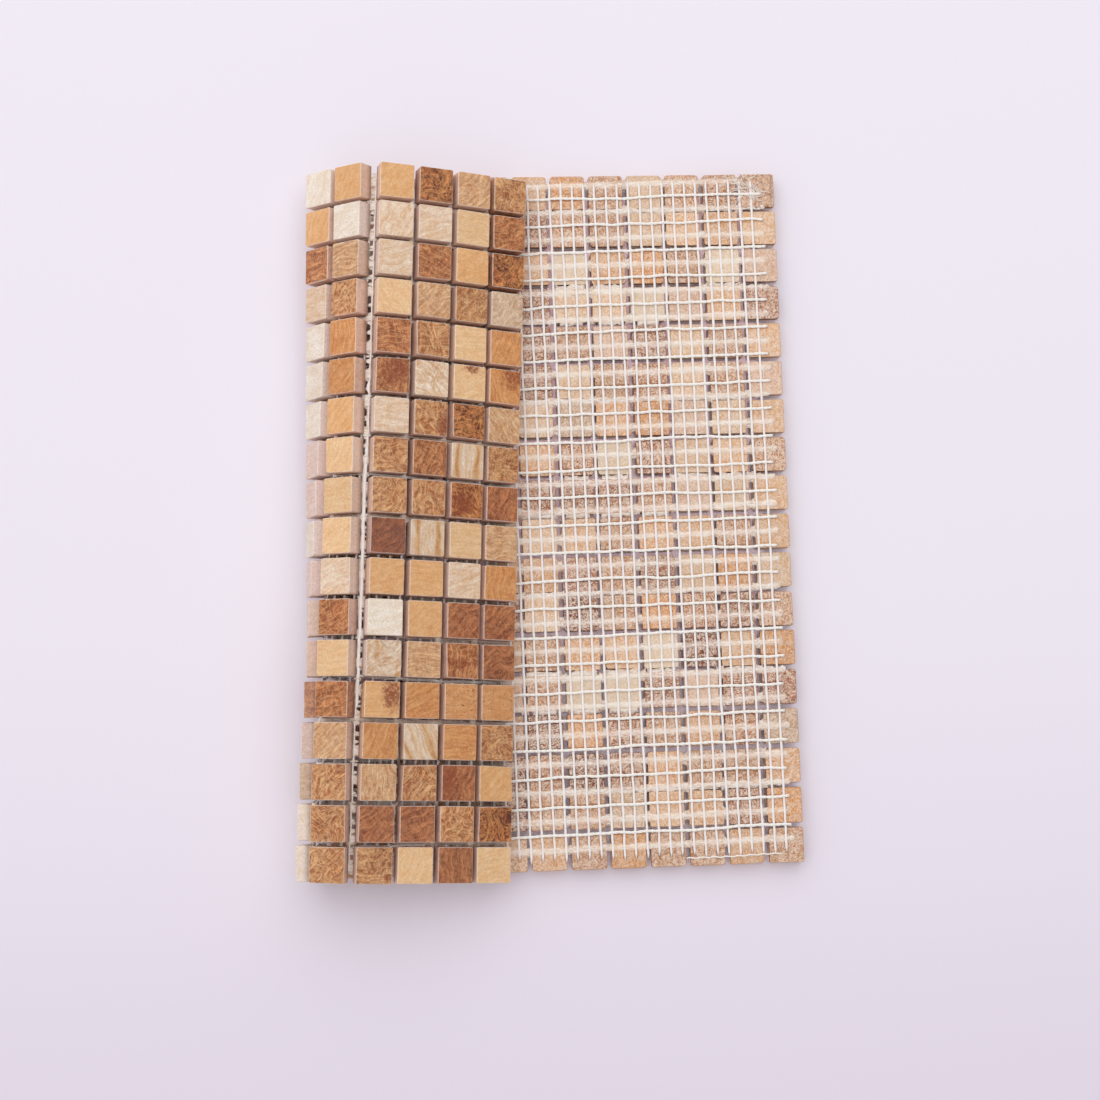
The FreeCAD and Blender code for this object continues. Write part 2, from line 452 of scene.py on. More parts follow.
@dataclass(frozen=True)
class StoneMarks:
    """The marks in the stone, in millimetres of the tile, and their shares of 1.

    A wave has its spacing, how far it is bent and how finely. A pair of edges is where in a noise or wave
    something starts and where it is full. A pair of shares is what every stone has and what a rough one
    has besides.
    """

    bend: Mark = Mark(0.10, 1.0)
    clouds: Mark = Mark(0.19, 4.0, 0.62, (0.36, 0.62))
    band_stretch: Triple = (0.45, 1.0, 1.0)
    band_wave: Triple = (9.5, 4.5, 4.0)
    band_stops: tuple[float, ...] = (0.0, 0.10, 0.28, 0.42, 0.80, 1.0)
    band_patches: Mark = Mark(0.09, 2.0, 0.5, (0.40, 0.58))
    band_least: float = 0.45
    streaks: Mark = Mark(0.42, 4.0, 0.64, (0.42, 0.64))
    blots: Mark = Mark(0.13, 5.0, 0.66, (0.50, 0.62), offset=(31.0, 7.0, 3.0))
    ring_stretch: Triple = (0.4, 1.0, 1.0)
    ring_bend: Pair = (4.0, 3.5)
    ring_dark: Pair = (0.35, 1.0)
    ring_pale: Pair = (0.22, 0.0)
    fibres: Mark = Mark(0.95, 3.0, 0.66, (0.52, 0.63), stretch=(0.22, 1.0, 1.0))
    fibres_pale: Pair = (0.47, 0.37)
    hairs_dark: Mark = Mark(0.62, 3.0, 0.6, (0.0, 0.075), stretch=(0.13, 1.0, 1.0))
    hairs_pale: Mark = Mark(0.50, 3.0, 0.6, (0.0, 0.065), stretch=(1.0, 0.22, 1.0))
    pale_share: float = 0.8
    veins: Mark = Mark(0.12, 3.5, 0.6, (0.0, 0.035), offset=(3.0, 17.0, 9.0))
    vein_breaks: Mark = Mark(0.23, 2.0, 0.5, (0.45, 0.62))
    pits: Mark = Mark(1.05, 1.5, 0.5, (0.66, 0.70))
    blot_edge: Mark = Mark(0.55, 5.0, 0.75, (2.15, 2.95))
    blot_ragged: float = 3.2
    blot_share: float = 0.92
    blot_patches: Mark = Mark(0.75, 4.0, 0.7, (0.40, 0.56))
    blot_least: float = 0.45
    back_patches: Mark = Mark(0.16, 4.0, 0.62, (0.38, 0.66))
    back_patch_share: float = 0.30
    back_brown: float = 0.20
    saw_dark: Pair = (0.46, 0.34)
    saw_pale: Pair = (0.55, 0.67)
    saw_pale_share: Pair = (0.2, 0.8)
    curls_dark: Mark = Mark(0.36, 2.5, 0.6, (0.0, 0.085), swirl=1.5)
    curls_dark_share: Pair = (0.45, 0.55)
    curls_pale: Mark = Mark(0.42, 2.5, 0.6, (0.0, 0.085), swirl=1.3, offset=(5.0, 23.0, 11.0))
    curls_pale_share: Pair = (0.55, 0.3)
    saw_arcs: Triple = (1.05, 7.0, 3.0)
    saw_arc_share: float = 0.22
    crumbs: Mark = Mark(0.95, 5.0, 0.72)
    fine: Mark = Mark(1.25, 3.0, 0.62, (0.30, 0.70))
    fine_shade: Pair = (0.90, 1.10)
    dust: Mark = Mark(0.3, 4.0, 0.65, (0.32, 0.66))
    dust_least: float = 0.72
    dust_pale: float = 0.25
    deep_span: Pair = (0.45, 1.0)
    deep_share: float = 0.62
    joint_span: Pair = (0.58, 0.82)
    joint_share: float = 0.7
    joint_glow: Pair = (0.98, 0.05)
    arris_wear_highlight_share: float = 0.62
    rim_share: float = 0.55
    rim_blend: float = 0.4
    roughness: Pair = (0.46, 0.88)
    specular: float = 0.32
    saw_relief: float = 0.9
    fine_relief: float = 0.4
    polished_relief: float = 0.12
    relief_depth: float = 0.30 * MM
    relief_strength: float = 0.8


MARKS = StoneMarks()


@dataclass(frozen=True)
class StoneFinish:
    """A kind of stone: its colours, and how they run through a tile. Lengths are in millimetres."""

    ground: Colour
    pale: Colour
    dark: Colour
    back: Colour
    clouds: float = 0.5
    streaks: float = 0.3
    streak_size: float = 1.0
    streak_length: float = 3.0
    fibres: float = 0.25
    hairs: float = 0.2
    rings: float = 0.2
    ring_spacing: float = 2.6
    swirl: float = 3.0
    veins: float = 0.0
    vein_colour: Colour = paint(246, 226, 200)
    blots: float = 0.0
    bands: float = 0.0
    pits: float = 0.0
    rough_back: float = 0.5
    dust: Colour = paint(243, 216, 208)
    floor_glow: Colour = paint(255, 242, 240)
    # pale of rubbed arrises, saw crests and curls: partly worn stone, partly painted highlight
    worn_and_highlight: Colour = paint(248, 236, 224)
    pit_colour: Colour = paint(112, 66, 44)
    stain: Colour = paint(142, 70, 40)
    deep_glue_and_shade: Colour = paint(104, 64, 48)
    joint_shade: Colour = paint(112, 62, 44)
    back_tint: Colour = (1.02, 0.94, 0.865)

    def face_colour(self, tree: Tree, grain: Socket) -> Socket:
        """The polished face's colour.

        Args:
            tree: the material's nodes.
            grain: the tile's own coordinates in millimetres.

        Returns:
            The socket with the colour.
        """
        turn = tree.vector_math("SUBTRACT", tree.noise(grain, MARKS.bend, "Color"), (tree.middle,) * 3)
        bent = tree.vector_math("ADD", grain, tree.vector_math("SCALE", turn, self.swirl * 2))
        colour = tree.mix(tree.marked(bent, MARKS.clouds, self.clouds), self.ground, self.pale)
        if self.bands:
            band = tree.wave(tree.stretched(bent, MARKS.band_stretch), *MARKS.band_wave)
            run = (self.dark, self.ground, self.pale, self.vein_colour, self.vein_colour, self.pale)
            patchy = tree.marked(grain, MARKS.band_patches, self.bands, self.bands * MARKS.band_least)
            colour = tree.mix(patchy, colour, tree.ramp(band, list(zip(MARKS.band_stops, run))))
        if self.streaks:
            streak = replace(MARKS.streaks, scale=MARKS.streaks.scale / self.streak_size,
                             stretch=(1 / self.streak_length, 1.0, 1.0))
            colour = tree.mix(tree.marked(bent, streak, self.streaks), colour, self.dark)
        if self.blots:
            colour = tree.mix(tree.marked(bent, MARKS.blots, self.blots), colour, self.dark)
        faint = MARKS.pale_share
        if self.rings:
            ring = tree.wave(tree.stretched(bent, MARKS.ring_stretch), self.ring_spacing,
                             *MARKS.ring_bend, steep=True)
            colour = tree.mix(tree.spread(ring, *MARKS.ring_dark, 0.0, self.rings), colour, self.dark)
            colour = tree.mix(tree.spread(ring, *MARKS.ring_pale, 0.0, self.rings * faint), colour,
                              self.pale)
        fibre = tree.noise(bent, MARKS.fibres)
        for span, tint in ((MARKS.fibres.span, self.dark), (MARKS.fibres_pale, self.pale)):
            colour = tree.mix(tree.spread(fibre, *span, 0.0, self.fibres), colour, tint)
        if self.hairs:
            colour = tree.mix(tree.lines(bent, MARKS.hairs_dark, self.hairs), colour, self.dark)
            colour = tree.mix(tree.lines(bent, MARKS.hairs_pale, self.hairs * faint), colour, self.pale)
        if self.veins:
            line = tree.lines(bent, MARKS.veins, self.veins)
            broken = tree.marked(grain, MARKS.vein_breaks, 1.0)
            colour = tree.mix(tree.times(line, broken), colour, self.vein_colour)
        if self.pits:
            colour = tree.mix(tree.marked(grain, MARKS.pits, self.pits), colour, self.pit_colour)
        return self.stained(tree, grain, colour)

    def stained(self, tree: Tree, grain: Socket, colour: Socket) -> Socket:
        """Adds the dark blot that some tiles have at a place of their own.

        Args:
            tree: the material's nodes.
            grain: the tile's own coordinates in millimetres.
            colour: the colour without it.

        Returns:
            The socket with the colour.
        """
        reach = tree.nodes.new("ShaderNodeVectorMath")
        reach.operation = "LENGTH"
        tree.feed(reach.inputs[0], tree.attribute("blot", "Vector"))
        ragged = tree.times(tree.noise(grain, MARKS.blot_edge), MARKS.blot_ragged)
        reach = tree.plus(reach.outputs["Value"], ragged)
        patchy = tree.marked(grain, MARKS.blot_patches, 1.0, MARKS.blot_least)
        share = tree.times(tree.spread(reach, *MARKS.blot_edge.span, MARKS.blot_share, 0.0), patchy)
        return tree.mix(share, colour, self.stain)

    def back_colour(self, tree: Tree, grain: Socket, face: Socket, saw: Socket, depth: float) -> Socket:
        """The sawn back's colour, with what the glue leaves beside the yarns.

        Args:
            tree: the material's nodes.
            grain: the tile's own coordinates in millimetres.
            face: the stone's colour where it is polished.
            saw: the relief of the saw marks.
            depth: how far the sheet reaches from back to front, in millimetres.

        Returns:
            The socket with the colour.
        """
        patches = tree.marked(grain, MARKS.back_patches, MARKS.back_patch_share)
        colour = tree.mix(patches, self.back, face)
        brown = blended(self.dark, self.back, MARKS.back_brown)
        pale_share, curl_dark_share, curl_pale_share = (
            base + more * self.rough_back
            for base, more in (MARKS.saw_pale_share, MARKS.curls_dark_share, MARKS.curls_pale_share))
        colour = tree.mix(tree.spread(saw, *MARKS.saw_dark, 0.0, self.rough_back), colour, brown)
        # pale saw crests and curls: partly pale stone, partly painted highlight and glints
        colour = tree.mix(tree.spread(saw, *MARKS.saw_pale, 0.0, pale_share), colour, self.worn_and_highlight)
        colour = tree.mix(tree.lines(grain, MARKS.curls_dark, curl_dark_share), colour, brown)
        colour = tree.mix(tree.lines(grain, MARKS.curls_pale, curl_pale_share), colour, self.worn_and_highlight)
        colour = tree.vector_math("MULTIPLY", colour, self.back_tint)
        return GlueMarks().over(tree, grain, colour, brown, depth)

    def side_colour(self, tree: Tree, grain: Socket, face: Socket) -> Socket:
        """The sawn sides' colour: dusty, browner towards the back with glue and painted shade, and in a
        joint painted shade near its top and painted floor light near its foot.

        Args:
            tree: the material's nodes.
            grain: the tile's own coordinates in millimetres.
            face: the stone's colour where it is polished.

        Returns:
            The socket with the colour.
        """
        dusty = tree.times(tree.marked(grain, MARKS.dust, 1.0, MARKS.dust_least), tree.attribute("dusty"))
        side = tree.mix(dusty, face, blended(self.dust, self.pale, MARKS.dust_pale))
        deep, jointed = tree.attribute("deep"), tree.attribute("jointed")
        # browner towards the back: partly glue, partly painted shade down into the joint
        side = tree.mix(tree.spread(deep, *MARKS.deep_span, 0.0, MARKS.deep_share), side, self.deep_glue_and_shade)
        # painted shade near the top of a wall in a joint
        upper = tree.times(tree.spread(deep, *MARKS.joint_span), jointed)
        side = tree.mix(tree.times(upper, MARKS.joint_share), side, self.joint_shade)
        # painted floor light near the foot of a wall in a joint
        glow = tree.times(tree.spread(deep, *MARKS.joint_span, *MARKS.joint_glow), jointed)
        return tree.mix(glow, side, self.floor_glow)

    def material(self, name: str, depth: float) -> Material:
        """The finish as a material.

        Args:
            name: the material's name.
            depth: how far the sheet reaches from back to front, in millimetres.

        Returns:
            The material.
        """
        tree = Tree(name)
        grain = tree.attribute("grain", "Vector")
        face = self.face_colour(tree, grain)
        arcs = tree.times(tree.wave(grain, *MARKS.saw_arcs, rings=True), MARKS.saw_arc_share)
        saw = tree.plus(arcs, tree.times(tree.noise(grain, MARKS.crumbs), 1 - MARKS.saw_arc_share))
        fine = tree.noise(grain, MARKS.fine)
        sawn, back, arris = tree.attribute("sawn"), tree.attribute("back"), tree.attribute("arris")
        # arris band: partly worn edge, partly painted highlight, alike on every edge
        worn_and_highlight = tree.mix(MARKS.arris_wear_highlight_share, face, self.worn_and_highlight)
        colour = tree.mix(sawn, tree.mix(arris, face, worn_and_highlight), self.side_colour(tree, grain, face))
        under = self.back_colour(tree, grain, face, saw, depth)
        rim = blended(self.dark, self.ground, MARKS.rim_blend)
        under = tree.mix(tree.times(arris, MARKS.rim_share), under, rim)
        colour = tree.mix(back, colour, under)
        speckle = tree.spread(fine, *MARKS.fine.span, *MARKS.fine_shade)
        # each tile's own tone, with painted shade towards the front rows
        shade = tree.times(tree.plus(tree.attribute("tone_and_shade"), 1.0), speckle)
        tree.feed(tree.shader.inputs["Base Color"], tree.vector_math("SCALE", colour, shade))
        tree.feed(tree.shader.inputs["Roughness"], tree.spread(sawn, 0.0, 1.0, *MARKS.roughness))
        tree.shader.inputs["Specular IOR Level"].default_value = MARKS.specular
        rough = tree.plus(tree.times(saw, MARKS.saw_relief), tree.times(fine, MARKS.fine_relief))
        relief = tree.plus(tree.times(rough, sawn), tree.times(fine, MARKS.polished_relief))
        tree.bump(relief, MARKS.relief_depth, MARKS.relief_strength)
        return tree.material


def stone(ground: Screen, pale: Screen, dark: Screen, back: Screen, **marks: object) -> StoneFinish:
    """A finish from the screen colours of its face and back, and the strengths of its marks."""
    return StoneFinish(*(paint(*colour) for colour in (ground, pale, dark, back)), **marks)


FINISHES = {
    Stone.WHITE: stone((242, 226, 206), (250, 241, 229), (226, 196, 158), (238, 222, 202), clouds=0.8,
        streaks=0.35, streak_size=1.4, streak_length=4.0, fibres=0.2, rough_back=0.25, hairs=0.15,
        rings=0.2, ring_spacing=4.0),
    Stone.CREAM: stone((238, 207, 174), (245, 226, 205), (212, 162, 112), (236, 211, 186), clouds=0.8,
        streaks=0.45, streak_size=1.2, fibres=0.3, rough_back=0.35, hairs=0.25, rings=0.3,
        ring_spacing=3.2),
    Stone.PINK: stone((232, 204, 188), (240, 220, 208), (204, 160, 132), (234, 202, 180), clouds=0.6,
        streaks=0.25, streak_size=1.3, rough_back=0.4, rings=0.15, ring_spacing=3.0),
    Stone.LIGHT: stone((238, 194, 144), (244, 211, 168), (214, 156, 98), (236, 201, 170), clouds=0.6,
        streaks=0.25, swirl=2.0, fibres=0.18, rough_back=0.4, hairs=0.15, rings=0.15, ring_spacing=3.0),
    Stone.HONEY: stone((232, 176, 118), (240, 195, 144), (204, 138, 80), (232, 193, 158), clouds=0.6,
        streaks=0.25, swirl=2.0, fibres=0.2, rough_back=0.4, hairs=0.15, rings=0.18, ring_spacing=3.0),
    Stone.ORANGE: stone((223, 155, 93), (234, 178, 120), (174, 100, 52), (236, 182, 130), clouds=0.6,
        streaks=0.4, swirl=2.5, fibres=0.25, rough_back=0.15, hairs=0.35, rings=0.35, ring_spacing=2.4),
    Stone.TAN: stone((226, 174, 124), (238, 200, 156), (162, 100, 58), (220, 180, 150), clouds=0.7,
        streaks=0.5, streak_size=0.8, fibres=0.35, veins=0.2, rough_back=0.6, hairs=0.4, rings=0.38,
        ring_spacing=1.9),
    Stone.GOLDEN: stone((214, 142, 86), (236, 186, 132), (142, 76, 40), (214, 166, 132), clouds=0.9,
        streaks=0.75, streak_length=2.0, swirl=5.0, fibres=0.45, veins=0.4,
        vein_colour=paint(242, 204, 154), blots=0.45, rough_back=0.65, hairs=0.6, rings=0.5,
        ring_spacing=2.8),
    Stone.BROWN: stone((204, 126, 74), (228, 166, 112), (120, 58, 30), (206, 158, 130), clouds=0.7,
        streaks=0.7, streak_size=1.2, streak_length=4.0, swirl=3.5, fibres=0.42, blots=0.3,
        rough_back=0.75, hairs=0.55, rings=0.55, ring_spacing=2.6),
    Stone.RED: stone((186, 112, 68), (212, 146, 98), (112, 56, 34), (210, 162, 138), clouds=0.6,
        streaks=0.75, streak_size=1.4, streak_length=4.0, swirl=4.0, fibres=0.34, blots=0.25,
        rough_back=0.65, hairs=0.45, rings=0.45, ring_spacing=2.8),
    Stone.DARK: stone((180, 94, 48), (226, 156, 94), (88, 38, 18), (186, 138, 116), clouds=0.8,
        streaks=0.75, streak_size=1.3, streak_length=1.6, swirl=6.0, fibres=0.55, veins=0.75,
        vein_colour=paint(224, 160, 98), blots=0.8, rough_back=0.9, hairs=0.6, rings=0.5,
        ring_spacing=2.6),
    Stone.SMOKY: stone((160, 94, 62), (184, 118, 80), (106, 62, 48), (184, 146, 130), clouds=0.5,
        streaks=0.6, streak_size=1.5, streak_length=2.0, swirl=4.0, fibres=0.35, blots=0.6,
        rough_back=0.8, hairs=0.35, rings=0.45, ring_spacing=3.2),
    Stone.BANDED: stone((226, 182, 132), (238, 212, 178), (190, 126, 70), (232, 204, 178), clouds=0.3,
        streaks=0.2, swirl=2.0, bands=0.9, vein_colour=paint(244, 230, 212), fibres=0.2, rings=0.25,
        ring_spacing=1.6),
    Stone.VEINED: stone((234, 202, 164), (248, 234, 214), (190, 128, 68), (232, 204, 180), clouds=0.8,
        streaks=0.45, swirl=5.0, veins=0.7, vein_colour=paint(204, 144, 78), fibres=0.3, blots=0.3,
        hairs=0.3, rings=0.3, ring_spacing=2.6),
    Stone.PITTED: stone((220, 156, 100), (230, 176, 124), (176, 110, 64), (234, 182, 134), clouds=0.5,
        streaks=0.3, pits=0.85, fibres=0.3, hairs=0.12, rings=0.15, ring_spacing=2.6),
    Stone.GREY: stone((222, 188, 154), (236, 212, 184), (178, 136, 102), (222, 196, 172), clouds=0.7,
        streaks=0.45, streak_length=2.0, swirl=5.0, fibres=0.35, blots=0.2, hairs=0.35, rings=0.35,
        ring_spacing=2.4),
}


@dataclass
class Laying:
    """Which stone lies where, and which way its grain runs.

    The folded columns are charted from the fold to the free edge, back row first: a letter for the
    stone and a digit for its turn in sixteenths of a circle. The lower columns have a letter only, from
    the right edge leftwards as far as they show. Stones that don't show are drawn by lot.
    """

    folded: tuple[str, ...] = (
        "W3 H3 H2 D1 T2 G4", "H3 W1 C3 C1 L0 B1", "B0 T0 C1 B7 H1 D2", "C0 G2 L6 T2 G3 E2",
        "W0 O4 B0 G4 L0 O3", "W0 O2 B3 V6 L1 O5", "W0 H2 C0 G5 D0 T6", "P0 L3 G1 B3 S4 G0",
        "P0 L0 G2 G4 D5 R3", "W0 L1 K2 S4 L0 T0", "P0 C1 H1 H0 C1 O4", "C0 B1 W1 H2 R2 R2",
        "T0 L0 V1 T0 B4 R1", "B2 B1 H0 O1 N0 N0", "P0 T2 O3 S5 O0 G1", "E1 G2 T4 G2 R3 H2",
        "W0 G6 R2 R1 G2 D4", "W0 G2 G0 L3 R4 L1",
    )
    lower: tuple[str, ...] = (
        "TGTCTOL", "LHLCTTB", "PWTOHWL", "RLPWCCB", "LTCBPTB", "PTCGTCB", "LCPOHEC", "TLCBWGH",
        "LCPTBBB", "LTLHTLC", "COCBTRH", "TBGOTDC", "OLDWLHT", "RBPBWWT", "EGHTBOD", "HTTHBDG",
        "OBHLETT", "THTTOTH",
    )
    blots: tuple[tuple[int, str, float, float, float, float], ...] = (
        (6, "C", 1.5, 2.5, 7.0, 6.0), (6, "F", 5.0, 4.5, 6.0, 5.0), (6, "E", 1.0, 6.0, 4.0, 1.8),
        (7, "D", 6.5, -3.0, 3.5, 7.0), (9, "E", -2.0, -1.5, 6.0, 5.0), (13, "E", -1.0, -1.0, 4.5, 2.4),
        (14, "C", 4.4, 2.4, 4.4, 6.5), (16, "E", -5.0, 2.5, 4.0, 6.5),
    )
    no_blot: tuple[float, float, float, float] = (99.0, 99.0, 1.0, 1.0)
    folded_letters: str = "ABCDEF"
    clean_sides: tuple[str, ...] = ("A14", "A15", "A16", "A17", "A18", "B14", "C14", "F1", "F2", "F3")
    clean_share: float = 0.3
    lower_share: float = 0.45
    first_folded: int = 12
    turn_count: int = 16
    letters: dict[tuple[int, int], str] = field(init=False, default_factory=dict)
    turns: dict[tuple[int, int], int] = field(init=False, default_factory=dict)
    seed: int = 1811

    def __post_init__(self) -> None:
        """Draws the stones that don't show."""
        lot = Random(self.seed)
        kinds = [stone.value for stone in Stone]
        for row, (under, over) in enumerate(zip(self.lower, self.folded)):
            hidden = "".join(lot.choice(kinds) for _ in range(self.first_folded - len(under)))
            for column, letter in enumerate(under + hidden):
                self.letters[row, column] = letter
                self.turns[row, column] = lot.randrange(self.turn_count)
            for step, mark in enumerate(over.split()):
                self.letters[row, self.first_folded + step] = mark[0]
                self.turns[row, self.first_folded + step] = int(mark[1])

    def stone(self, row: int, column: int) -> Stone:
        """The stone at a place in the sheet."""
        return Stone(self.letters[row, column])

    def turn(self, row: int, column: int) -> float:
        """The angle of its grain, in radians."""
        return self.turns[row, column] * math.tau / self.turn_count

    def dusty(self, row: int, column: int) -> float:
        """How much of a tile's sides the saw dust covers, 1 for all of it."""
        if column < self.first_folded:
            return self.lower_share
        letter = self.folded_letters[column - self.first_folded]
        return self.clean_share if f"{letter}{row + 1}" in self.clean_sides else 1.0

    def blot(self, row: int, column: int) -> tuple[float, float, float, float]:
        """Where a tile's own dark blot lies and how large it is, or far away if it has none.

        Args:
            row: the row's number.
            column: the column's number.

        Returns:
            How far right and back of the tile's middle it lies, its width and its depth.
        """
        for number, letter, right, back, width, depth in self.blots:
            if (number - 1, self.first_folded + self.folded_letters.index(letter)) == (row, column):
                return right, back, width, depth
        return self.no_blot


@dataclass(frozen=True)
class Seat:
    """Where one tile sits: its centre, and its directions along, across and out of its face."""

    centre: Vector
    along: Vector
    across: Vector
    outward: Vector

    def point(self, x: float, y: float, z: float) -> Vector:
        """A point of the tile, counted from its centre along those directions."""
        return self.centre + self.along * x + self.across * y + self.outward * z

    def matrix(self) -> Matrix:
        """The move that takes a tile from the origin to its seat."""
        turned = Matrix((self.along, self.across, self.outward)).transposed().to_4x4()
        return Matrix.Translation(self.centre) @ turned


@dataclass(frozen=True)
class Crease:
    """A joint between two columns where one row bends."""

    hinge: Vector
    normal: Vector


class Bed:
    """The folded sheet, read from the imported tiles: where each point of the flat sheet lies."""

    bend_limit = 0.995
    weld = 0.001 * MM

    def __init__(self, nodes: dict[str, Object]) -> None:
        """Reads every row of tiles.

        Args:
            nodes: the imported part's nodes by name.
        """
        self.names = sorted(name for name in nodes if name.startswith("tile_row_"))
        solids = [self.read_solids(nodes[name]) for name in self.names]
        self.thickness, self.side = solids[0][0][1]
        self.rows = [self.seats_in_order(row) for row in solids]
        flat = self.rows[0]
        self.pitch = (flat[1].centre - flat[0].centre).length
        self.joint = self.pitch - self.side
        self.columns = len(flat)
        self.length = self.columns * self.pitch - self.joint
        self.depth = len(self.rows) * self.pitch - self.joint
        self.creases = {}
        for number, row in enumerate(self.rows):
            for column, (before, after) in enumerate(zip(row, row[1:])):
                if before.outward.dot(after.outward) < self.bend_limit:
                    self.creases[number, column] = self.crease(before, after)

    @staticmethod
    def read_solids(node: Object) -> list[tuple]:
        """Finds each tile of a row in its node.

        Args:
            node: the node of the row.

        Returns:
            For each tile its centre, its thickness and side, and its three directions.
        """
        bm = bmesh.new()
        bm.from_mesh(node.data)
        bmesh.ops.remove_doubles(bm, verts=bm.verts, dist=Bed.weld)
        bm.verts.ensure_lookup_table()
        seen, found = set(), []
        for vertex in bm.verts:
            if vertex.index in seen:
                continue
            island, queue = [], [vertex]
            seen.add(vertex.index)
            while queue:
                reached = queue.pop()
                island.append(reached.co.copy())
                for edge in reached.link_edges:
                    other = edge.other_vert(reached)
                    if other.index not in seen:
                        seen.add(other.index)
                        queue.append(other)
            corner = island[0]
            spans = sorted((point - corner for point in island[1:]), key=lambda span: span.length)
            centre = sum(island, Vector()) / len(island)
            directions = [span.normalized() for span in spans[:3]]
            found.append((centre, (spans[0].length, spans[1].length), directions))
        bm.free()
        return found

    def seats_in_order(self, solids: list[tuple]) -> list[Seat]:
        """Sorts the tiles of a row from the free right edge through the fold.

        Args:
            solids: the tiles as read_solids gives them.

        Returns:
            Their seats in order.
        """
        lower, folded = [], []
        for centre, _, (through, one, other) in solids:
            lies_flat = centre.z < self.thickness
            sense = Vector((0, 0, -1)) if lies_flat else Vector((-1, 0, 1))
            outward = through if through.dot(sense) > 0 else -through
            across = one if abs(one.y) > abs(other.y) else other
            across = across if across.y > 0 else -across
            seat = Seat(centre, across.cross(outward), across, outward)
            (lower if lies_flat else folded).append(seat)
        lower.sort(key=lambda seat: -seat.centre.x)
        folded.sort(key=lambda seat: seat.centre.x)
        return lower + folded

    def crease(self, before: Seat, after: Seat) -> Crease:
        """Finds the line on which the mesh bends between two tiles.

        Args:
            before: the tile before the bend.
            after: the tile after it.

        Returns:
            A point of that line and the normal of the plane that halves the bend.
        """
        level = -(self.thickness / 2 + Warps.depth)
        near = before.point(self.side / 2, 0, level)
        far = after.point(-self.side / 2, 0, level)
        pair = intersect_line_line(near, near + before.along, far, far + after.along)
        axis = before.outward.cross(after.outward).normalized()
        normal = before.along + after.along
        normal -= axis * normal.dot(axis)
        return Crease((pair[0] + pair[1]) / 2, normal.normalized())

    def step(self, reach: float, count: int) -> tuple[int, float, float]:
        """Finds a tile and the place on it.

        Args:
            reach: how far along or across the flat sheet.
            count: how many tiles there are that way.

        Returns:
            The tile's number, how far past its middle, and how far through the joint after it.
        """
        number = min(max(int(reach // self.pitch), 0), count - 1)
        offset = reach - number * self.pitch
        if offset <= self.side or number == count - 1:
            return number, offset - self.side / 2, 0.0
        return number, self.side / 2, (offset - self.side) / self.joint

    def in_row(self, row: int, along: float, y: float, height: float) -> Vector:
        """Where a point of one row lies.

        Args:
            row: the row's number.
            along: how far along the flat sheet.
            y: how far behind the middle of the row.
            height: how far above the backs.

        Returns:
            The point.
        """
        column, x, share = self.step(along, self.columns)
        seats = self.rows[row]
        z = -(self.thickness / 2 + height)
        crease = self.creases.get((row, column))
        if share > 0 and crease is None:
            return seats[column].point(x, y, z).lerp(seats[column + 1].point(-x, y, z), share)
        if share >= 0.5:
            return self.held_at(crease, seats[column + 1],
                                seats[column + 1].point(-x - (1 - share) * self.joint, y, z), 1)
        point = seats[column].point(x + share * self.joint, y, z)
        if x >= 0 and crease is not None:
            return self.held_at(crease, seats[column], point, -1)
        before = self.creases.get((row, column - 1))
        if x < 0 and before is not None:
            return self.held_at(before, seats[column], point, 1)
        return point

    @staticmethod
    def held_at(crease: Crease, seat: Seat, point: Vector, sense: int) -> Vector:
        """Keeps a point on its own side of the plane that halves a bend.

        Args:
            crease: the bend.
            seat: the tile that the point belongs to.
            point: the point.
            sense: 1 after the bend and -1 before it.

        Returns:
            The point, moved along its tile where it lay beyond the plane.
        """
        past = (point - crease.hinge).dot(crease.normal)
        if past * sense >= 0:
            return point
        return point - seat.along * (past / seat.along.dot(crease.normal))

    def place(self, along: float, across: float, height: float) -> Vector:
        """Where a point of the flat sheet lies once it is folded.

        Args:
            along: how far from the free right edge.
            across: how far from the back edge.
            height: how far above the backs of the tiles.

        Returns:
            The point.
        """
        row, y, share = self.step(across, len(self.rows))
        point = self.in_row(row, along, -y, height)
        if share > 0:
            point = point.lerp(self.in_row(row + 1, along, y, height), share)
        return point


def fresh(bm: BMesh, before: set) -> list[BMVert]:
    """The vertices that were added since a set of them was taken."""
    return [vertex for vertex in bm.verts if vertex not in before]


def finished(bm: BMesh, name: str, materials: list[Material],
             nodes: tuple[str, ...] = ()) -> Object:
    """Makes a piece of a modelled mesh and puts it on the part.

    Args:
        bm: the mesh, in its place.
        name: the piece's name.
        materials: the materials in its slots.
        nodes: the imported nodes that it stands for.

    Returns:
        The piece.
    """
    mesh = bpy.data.meshes.new(name)
    bm.to_mesh(mesh)
    bm.free()
    piece = bpy.data.objects.new(name, mesh)
    bpy.context.scene.collection.objects.link(piece)
    for material in materials:
        mesh.materials.append(material)
    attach(piece, "root")
    if nodes:
        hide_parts(*nodes)
    LOG.info("%s: %d faces", name, len(mesh.polygons))
    return piece


